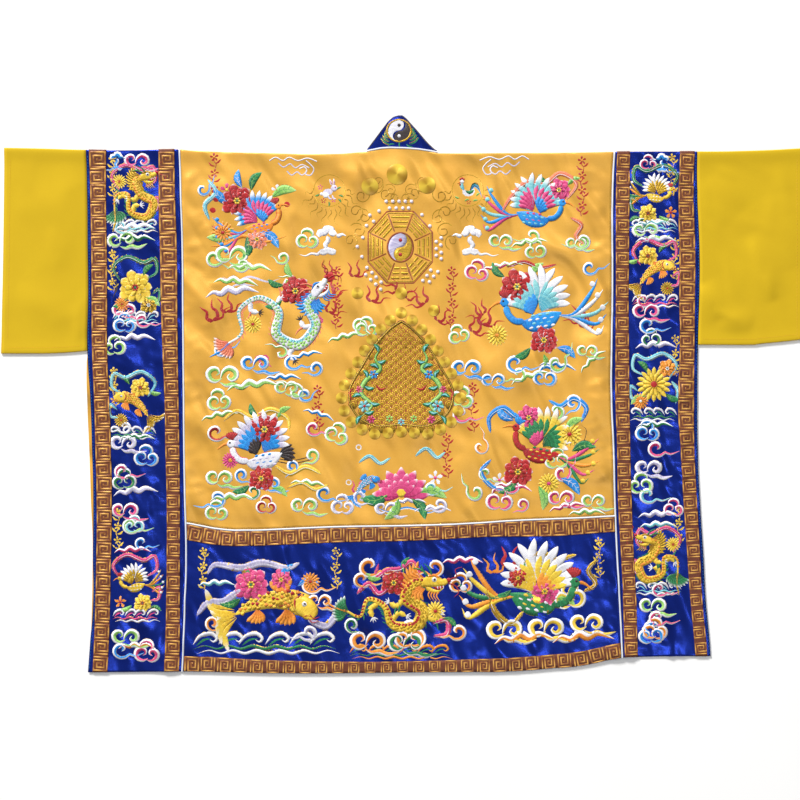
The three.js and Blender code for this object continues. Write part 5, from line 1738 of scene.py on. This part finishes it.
for side in (-1, 1):
    for k in range(5):
        spot = ROBE(-5 + side * (22 + k), 599 + 8 * k, 1, 90 - side * (54 - 6 * k))
        length = 30 - 5 * k
        stitch(spot, [(0, 0), (length / 2, side * -3), (length, 0)], 6, "green", 0, "leaf",
               (0.2, 1))
        stitch(spot, [(2, 3), (length / 2, side * -3 + 3), (length - 2, 2)], 2, "gold", 0, "even")
for x, y, turn in ((-26, 598, 20), (18, 598, 160), (-4, 600, 90)):
    stitch(ROBE(x, y, 1, turn), [-9+0j, 3j, 9+0j], 5, "green", 0, "leaf", (0.4, 1))
x = np.linspace(-80, 80, 33)
stitch(ROBE, x + 1j * (collar_peak(x) - 1.6), 3, "dark", 0, "even")
y = np.linspace(575, -655, 90)
cords = [above_hem(line(y) + inset, y, 1)
         for edges in ribbon_edges.values() for line, inset in zip(edges, (1.5, -1.5))]
x = np.linspace(float(down["leftPiping"](-400)) + 5, float(down["rightPiping"](-400)) - 5, 80)
cords += [x + 1j * (line(x) + inset) for line, inset in zip(hem_rows, (-1.5, 1.5, -1.5, 1.5))]
for cord in cords:
    stitch(ROBE, cord, 2.4, "gold", 4, "even", (0.2, 0.6))

# %% Join each thread colour into one piece
for slot, rows in stock.items():
    count = 0
    for row in rows:
        row[1] += count
        count += len(row[0])
    points, faces, along, across, tone, pale = map(np.concatenate, zip(*rows))
    piece = add_mesh(
        "embroidery_" + slot[7:], points, faces, slot,
        ["collar_medallion"] if slot == "thread_white" else (), np.stack([along, across], -1),
        tone=np.clip(tone, -1, 2), pale=np.clip(pale, -1, 2))
    print(piece.name, len(rows), "strokes", 2 * len(faces), "triangles")

# %% [markdown]
# ## Fret, rosettes, pearls and topstitching
# These repeat hundreds of times, so Geometry Nodes lays them. One tree puts a copy of a
# small unit at every point, turned and sized by the point's own values, then drops each
# copy on to the cloth below it with a ray. The other runs stitches along lines.

# %% Trees that lay copies on cloth
ABOVE = 0.1  # metres: the height over the robe from which rays look down for the cloth


def drop_on(node, given, geometry, clearance):
    """Moves a flat geometry down on to the object given as Ground."""
    ground = node("ObjectInfo", given["Ground"], transform_space="RELATIVE")
    here = node("ShaderNodeSeparateXYZ", node("InputPosition")).outputs
    above = node("ShaderNodeCombineXYZ", here["X"], here["Y"], ABOVE)
    ray = node("Raycast", Target_Geometry=ground.outputs["Geometry"], Source_Position=above,
               Ray_Direction=(0, 0, -1), Ray_Length=2 * ABOVE).outputs
    hit = node("ShaderNodeSeparateXYZ", ray["Hit Position"]).outputs
    rise = node("ShaderNodeMath", node("ShaderNodeMath", hit["Z"], here["Z"]), clearance)
    there = node("ShaderNodeCombineXYZ", here["X"], here["Y"], rise)
    return node("SetPosition", geometry, ray["Is Hit"], there)


copies_tree, given, node, end = new_tree(
    "laid copies", Unit="Object", Ground="Object", Clearance="Float")
unit = node("ObjectInfo", given["Unit"], transform_space="RELATIVE")
turn, size = (node("InputNamedAttribute", Name=name, data_type="FLOAT").outputs["Attribute"]
              for name in ("turn", "size"))
laid = node("InstanceOnPoints", given["Geometry"], Instance=unit.outputs["Geometry"],
            Rotation=node("ShaderNodeCombineXYZ", Z=turn), Scale=size)
end(drop_on(node, given, node("RealizeInstances", laid), given["Clearance"]))

stitch_tree, given, node, end = new_tree(
    "stitch run", Ground="Object", Pitch="Float", Long="Float", Thick="Float")
path = node("MeshToCurve", given["Geometry"])
spaced = node("ResampleCurve", path, Length=given["Pitch"], mode="LENGTH")
aim = node("FunctionNodeAlignRotationToVector", Vector=node("InputTangent"), axis="X")
box = node("MeshCube", node("ShaderNodeCombineXYZ", given["Long"], given["Thick"], given["Thick"]))
laid = node("InstanceOnPoints", spaced, Instance=box, Rotation=aim)
end(drop_on(node, given, node("RealizeInstances", laid), 0.0))


def lay_copies(name, unit, spots, ground, clearance, slot, look):
    """Spots are rows of x, y, turn in degrees and size."""
    x, y, turn, size = np.array(spots, float).T
    points = new_object(name, xyz(x, y, 0), turn=np.radians(turn), size=size)
    piece = run_tree(points, copies_tree, slot, Unit=unit, Ground=ground, Material=look,
                     Clearance=clearance * MM)
    print(name, len(spots), "copies", len(piece.data.polygons), "faces")

# %% Fret of the ribbons
FRET_PATH = np.array([  # one square spiral, in millimetres from the middle of a 38 mm square
    -16.5-17j, -16.5+16.5j, 16.5+16.5j, 16.5-16.5j, -9-16.5j, -9+9j, 9+9j, 9-9j, -1.5-9j, -1.5+1.5j,
    3+1.5j])
FRET_PITCH = 38.5
FRET_SQUARE = 37.5  # the ribbon's width that one unit fills at its own size
FRET_WIDTH, FRET_STEP, FRET_ROOM = 3.6, 9, 0.05
MITRE_LIMIT = 1.8  # a corner whose two sides add up to less is mitred
FRET_SECTION = [(-1, -0.1), (-0.6, 0.5), (0.6, 0.5), (1, -0.1)]  # across, height in mm


def square_strip(corners, width):
    """A raised line with mitred corners, divided so that it can follow folds."""
    ahead = np.diff(corners) / np.abs(np.diff(corners))
    sides = [1j * ahead[0]]
    for before, after in zip(ahead, ahead[1:]):
        middle = 1j * (before + after)
        reach = abs(middle)
        sides.append(middle / (reach / 2) / reach if reach > MITRE_LIMIT else middle)
    sides.append(1j * ahead[-1])
    run = []
    for a, b, side in zip(corners, corners[1:], sides):
        count = max(1, round(abs(b - a) / FRET_STEP))
        for k in range(count):
            run.append((a + (b - a) * k / count, side if k == 0 else 1j * (b - a) / abs(b - a)))
    run.append((corners[-1], sides[-1]))
    strip = [(z + side * across * width / 2, height)
             for z, side in run for across, height in FRET_SECTION]
    points = [(z.real, z.imag, height) for z, height in strip]
    return points, grid_faces(len(run), len(FRET_SECTION)).tolist()


looks["fret_gold"] = thread_material("fret_gold", (140, 78, 26), (240, 180, 84), 0.42, 0.2)
points, faces = square_strip(FRET_PATH, FRET_WIDTH)
fret_unit = new_object("fret unit", points, (), faces,
                       tone=[0.45 + 0.5 * math.sin(0.31 * k) for k in range(len(points))])


def add_fret(name, first, second, from_at, to_at, across):
    """Units evenly spaced between two lines; each second one is turned half round."""
    count = round(abs(to_at - from_at) / FRET_PITCH)
    spots = []
    for k in range(count):
        at = from_at + (to_at - from_at) * (k + 0.5) / count
        before, middle, after = (float(first(v) + second(v)) / 2 for v in (at - 1, at, at + 1))
        turn = math.degrees(math.atan((after - before) / 2))
        x, y, turn = (at, middle, turn) if across else (middle, at, 90 - turn)
        size = abs(float(first(at) - second(at))) / FRET_SQUARE
        spots.append((x, y, turn + 180 * (k % 2), size))
    lay_copies(f"fret_{name}", fret_unit, spots, ribbons[name], FRET_ROOM, "fret_ribbon",
               looks["fret_gold"])


for name, edges in ribbon_edges.items():
    at_x = SIDE_X[name.split("_")[0]]
    add_fret(name, *edges, float(back_top(at_x)) - 4, float(hem_foot(at_x)), False)
for name, rows, y in (("hem_upper", hem_rows[:2], -330), ("hem_lower", hem_rows[2:], -640)):
    add_fret(name, *rows, *(float(column(y)) for column in field_columns), True)

# %% Gold rosettes and pearls
ROSETTE_SIDES, ROSETTE_RINGS = 24, (0.12, 0.45, 0.8, 1.0)
ROSETTE_RADIUS, ROSETTE_RISE, ROSETTE_ROOM = 13.5, 1.3, 0.9
PEARL_SIDES, PEARL_RINGS, PEARL_RADIUS, PEARL_RISE = 12, (0.4, 0.75, 0.95, 1), 4.4, 3.4


def dome(name, radius, rise, sides, rings, tone):
    """A low dome; `tone` gives the tone of a point from its angle and ring."""
    points, tones = [(0, 0, rise)], [tone(0, 0)]
    for ring_share in rings:
        for k in range(sides):
            angle = 2 * math.pi * k / sides
            height = rise * math.sqrt(max(0, 1 - ring_share ** 2)) - 0.1 * ring_share
            points.append((radius * ring_share * math.cos(angle),
                           radius * ring_share * math.sin(angle), height))
            tones.append(tone(angle, ring_share))
    faces = [(0, 1 + k, 1 + (k + 1) % sides) for k in range(sides)]
    for j in range(len(rings) - 1):
        a = 1 + j * sides
        faces += [(a + k, a + sides + k, a + sides + (k + 1) % sides, a + (k + 1) % sides)
                  for k in range(sides)]
    return new_object(name, points, (), faces, tone=tones)


# A rosette's stitches run out from its middle. Its tone is painted by angle as a painted sheen: two
# opposite wedges lighter, the two between them darker.
rosette_unit = dome("rosette unit", ROSETTE_RADIUS, ROSETTE_RISE, ROSETTE_SIDES, ROSETTE_RINGS,
                    lambda angle, share: 0.45 + 0.5 * math.cos(2 * angle) * (0.5 + share / 2))
pearl_unit = dome("pearl unit", PEARL_RADIUS, PEARL_RISE, PEARL_SIDES, PEARL_RINGS,
                  lambda angle, share: 0.5)
RIM_ROSETTES = 28
along = np.insert(np.cumsum(np.abs(np.diff(rim_path))), 0, 0)
dice = np.random.default_rng(3)
rim_spots = [(z.real, z.imag, 20 + dice.uniform(-40, 40), 1) for z in np.interp(
    np.arange(RIM_ROSETTES) / RIM_ROSETTES * along[-1], along, rim_path)]
LOOSE_ROSETTES = [  # x, y, turn, size
    (-12, 528, 60, 1.85), (-77, 499, 20, 1.5), (60, 502, 30, 1.5), (-107, 243, 0, 1.05),
    (-2, 243, 40, 1.05), (76, 201, 70, 1.0),
]
# The dark and light golds of this material carry the rosettes' painted sheen.
rosette_gold = thread_material("rosette_gold", (172, 126, 8), (250, 214, 70), 0.36, 0.25)
lay_copies("rosettes", rosette_unit, rim_spots + LOOSE_ROSETTES, field, ROSETTE_ROOM, "thread_gold",
           rosette_gold)
PEARLS = [
    -38+463j, -22+463j, -7+463j, 8+463j, 23+463j, -30+447j, -14+447j, 2+447j, 16+447j, -55+440j,
    -77+430j, -68+415j, -85+405j, 48+431j, 67+404j, -94+376j, -107+354j, -96+330j, 82+366j, 82+349j,
    82+333j, 94+375j, 93+358j, 94+340j, 94+325j, -84+304j, -72+292j, -87+287j, -62+281j, -75+275j,
    -50+269j, -63+264j, -51+252j, 69+298j, 86+294j, 60+285j, 76+283j, 50+273j, 66+270j,
]
s = Shader("pearl", Roughness=0.22, Coat_Weight=0.5, Sheen_Weight=0.1)
s.paint(s.node("TexNoise", s.place(), Scale=160), srgb(250, 244, 250), srgb(222, 206, 226))
lay_copies("pearls", pearl_unit, [(z.real, z.imag, 0, 1) for z in PEARLS], field, 0, "pearl",
           s.material)

# %% Topstitching
STITCH_PITCH, STITCH_LENGTH, STITCH_THICKNESS = 7.5, 4.6, 0.8
FOOT_STITCHES = {"left": 770, "right": 725}  # where those of a sleeve's foot end


def add_stitching(name, lines, ground, colour):
    points, starts = np.concatenate(lines), np.cumsum([len(line) for line in lines])
    path = new_object(f"topstitch_{name}", xyz(points.real, points.imag, 0),
                      [(k - 1, k) for k in range(1, len(points)) if k not in starts])
    piece = run_tree(
        path, stitch_tree, "thread_" + colour, Ground=ground, Pitch=STITCH_PITCH * MM,
        Long=STITCH_LENGTH * MM, Thick=STITCH_THICKNESS * MM, Material=looks["thread_" + colour])
    print(piece.name, len(piece.data.polygons) // 6, "stitches")


y = np.linspace(570, -655, 140)
for name, edges in ribbon_edges.items():
    add_stitching(name, [above_hem(line(y) + inset, y, 4) for line,
                         inset in zip(edges, (3.5, -3.5))], ribbons[name], "brown")
for side, sign in SIDES:
    add_stitching(side + "_band", [above_hem(down[f"{side}Edge"](y) - sign * 3, y, 4)],
                  side_bands[side], "blue")
    cuff_y = np.linspace(140, 560, 60)
    x = np.linspace(sign * 945, sign * FOOT_STITCHES[side], 40)
    lines = [cuff[side](cuff_y) - sign * 14 + 1j * cuff_y, x + 1j * (sleeve_foot(x) + 14)]
    add_stitching(side + "_sleeve", lines, sleeves[side], "yellow")
for unit in (fret_unit, rosette_unit, pearl_unit):
    bpy.data.objects.remove(unit)

# %% [markdown]
# ## Camera, light and floor
# The robe was photographed straight from above, so the camera looks straight down from far
# enough that nothing leans. One large soft lamp stands to the upper left and rakes over the
# folds; a weaker one fills from the other side, and a pale world does the rest.

# %% Camera, light and floor
PHOTO_WIDTH = 1.92  # metres of floor across the whole photo
CAMERA_HEIGHT = 3.6
PHOTO_MIDDLE = (-0.0048, -0.0134)

s = Shader("pale floor", Roughness=0.9)
s.paint(s.node("TexNoise", s.place(), Scale=3), srgb(252, 252, 252), srgb(255, 255, 255))
FLOOR = 6000
floor = new_object("floor", [(x, y, 0) for x, y in (
    (-FLOOR, -FLOOR), (FLOOR, -FLOOR), (FLOOR, FLOOR), (-FLOOR, FLOOR))], (), [(0, 1, 2, 3)])
floor.data.materials.append(s.material)
floor.location.z = -0.0004


def add_lamp(name, place, size, power, tint):
    data = bpy.data.lights.new(name, "AREA")
    data.shape = "SQUARE"
    data.size = size
    data.energy = power
    data.color = tint
    lamp = bpy.data.objects.new(name, data)
    lamp.location = place
    lamp.rotation_euler = (-Vector(place)).to_track_quat("-Z", "Y").to_euler()
    scene.collection.objects.link(lamp)
    return lamp


add_lamp("key", (-7.0, 13.0, 7.0), 3.0, 4000, (1.0, 0.985, 0.96))
add_lamp("satin light", (2.0, 4.0, 7.5), 1.4, 95, (1, 1, 1))
add_lamp("fill", (1.6, -3.4, 7.0), 1.8, 95, (0.96, 0.98, 1.0))
world = bpy.data.worlds.new("studio")
world.use_nodes = True
world.node_tree.nodes["Background"].inputs["Color"].default_value = (1, 1, 1, 1)
world.node_tree.nodes["Background"].inputs["Strength"].default_value = 0.24
scene.world = world
scene.view_settings.view_transform = "Standard"

camera_data = bpy.data.cameras.new("photo camera")
camera_data.sensor_width = 36
camera_data.lens = camera_data.sensor_width * CAMERA_HEIGHT / PHOTO_WIDTH
camera = bpy.data.objects.new("photo camera", camera_data)
camera.location = (*PHOTO_MIDDLE, CAMERA_HEIGHT + UPPER_FACE * MM)
scene.collection.objects.link(camera)
scene.camera = camera
print("camera lens", round(camera_data.lens, 1), "mm")
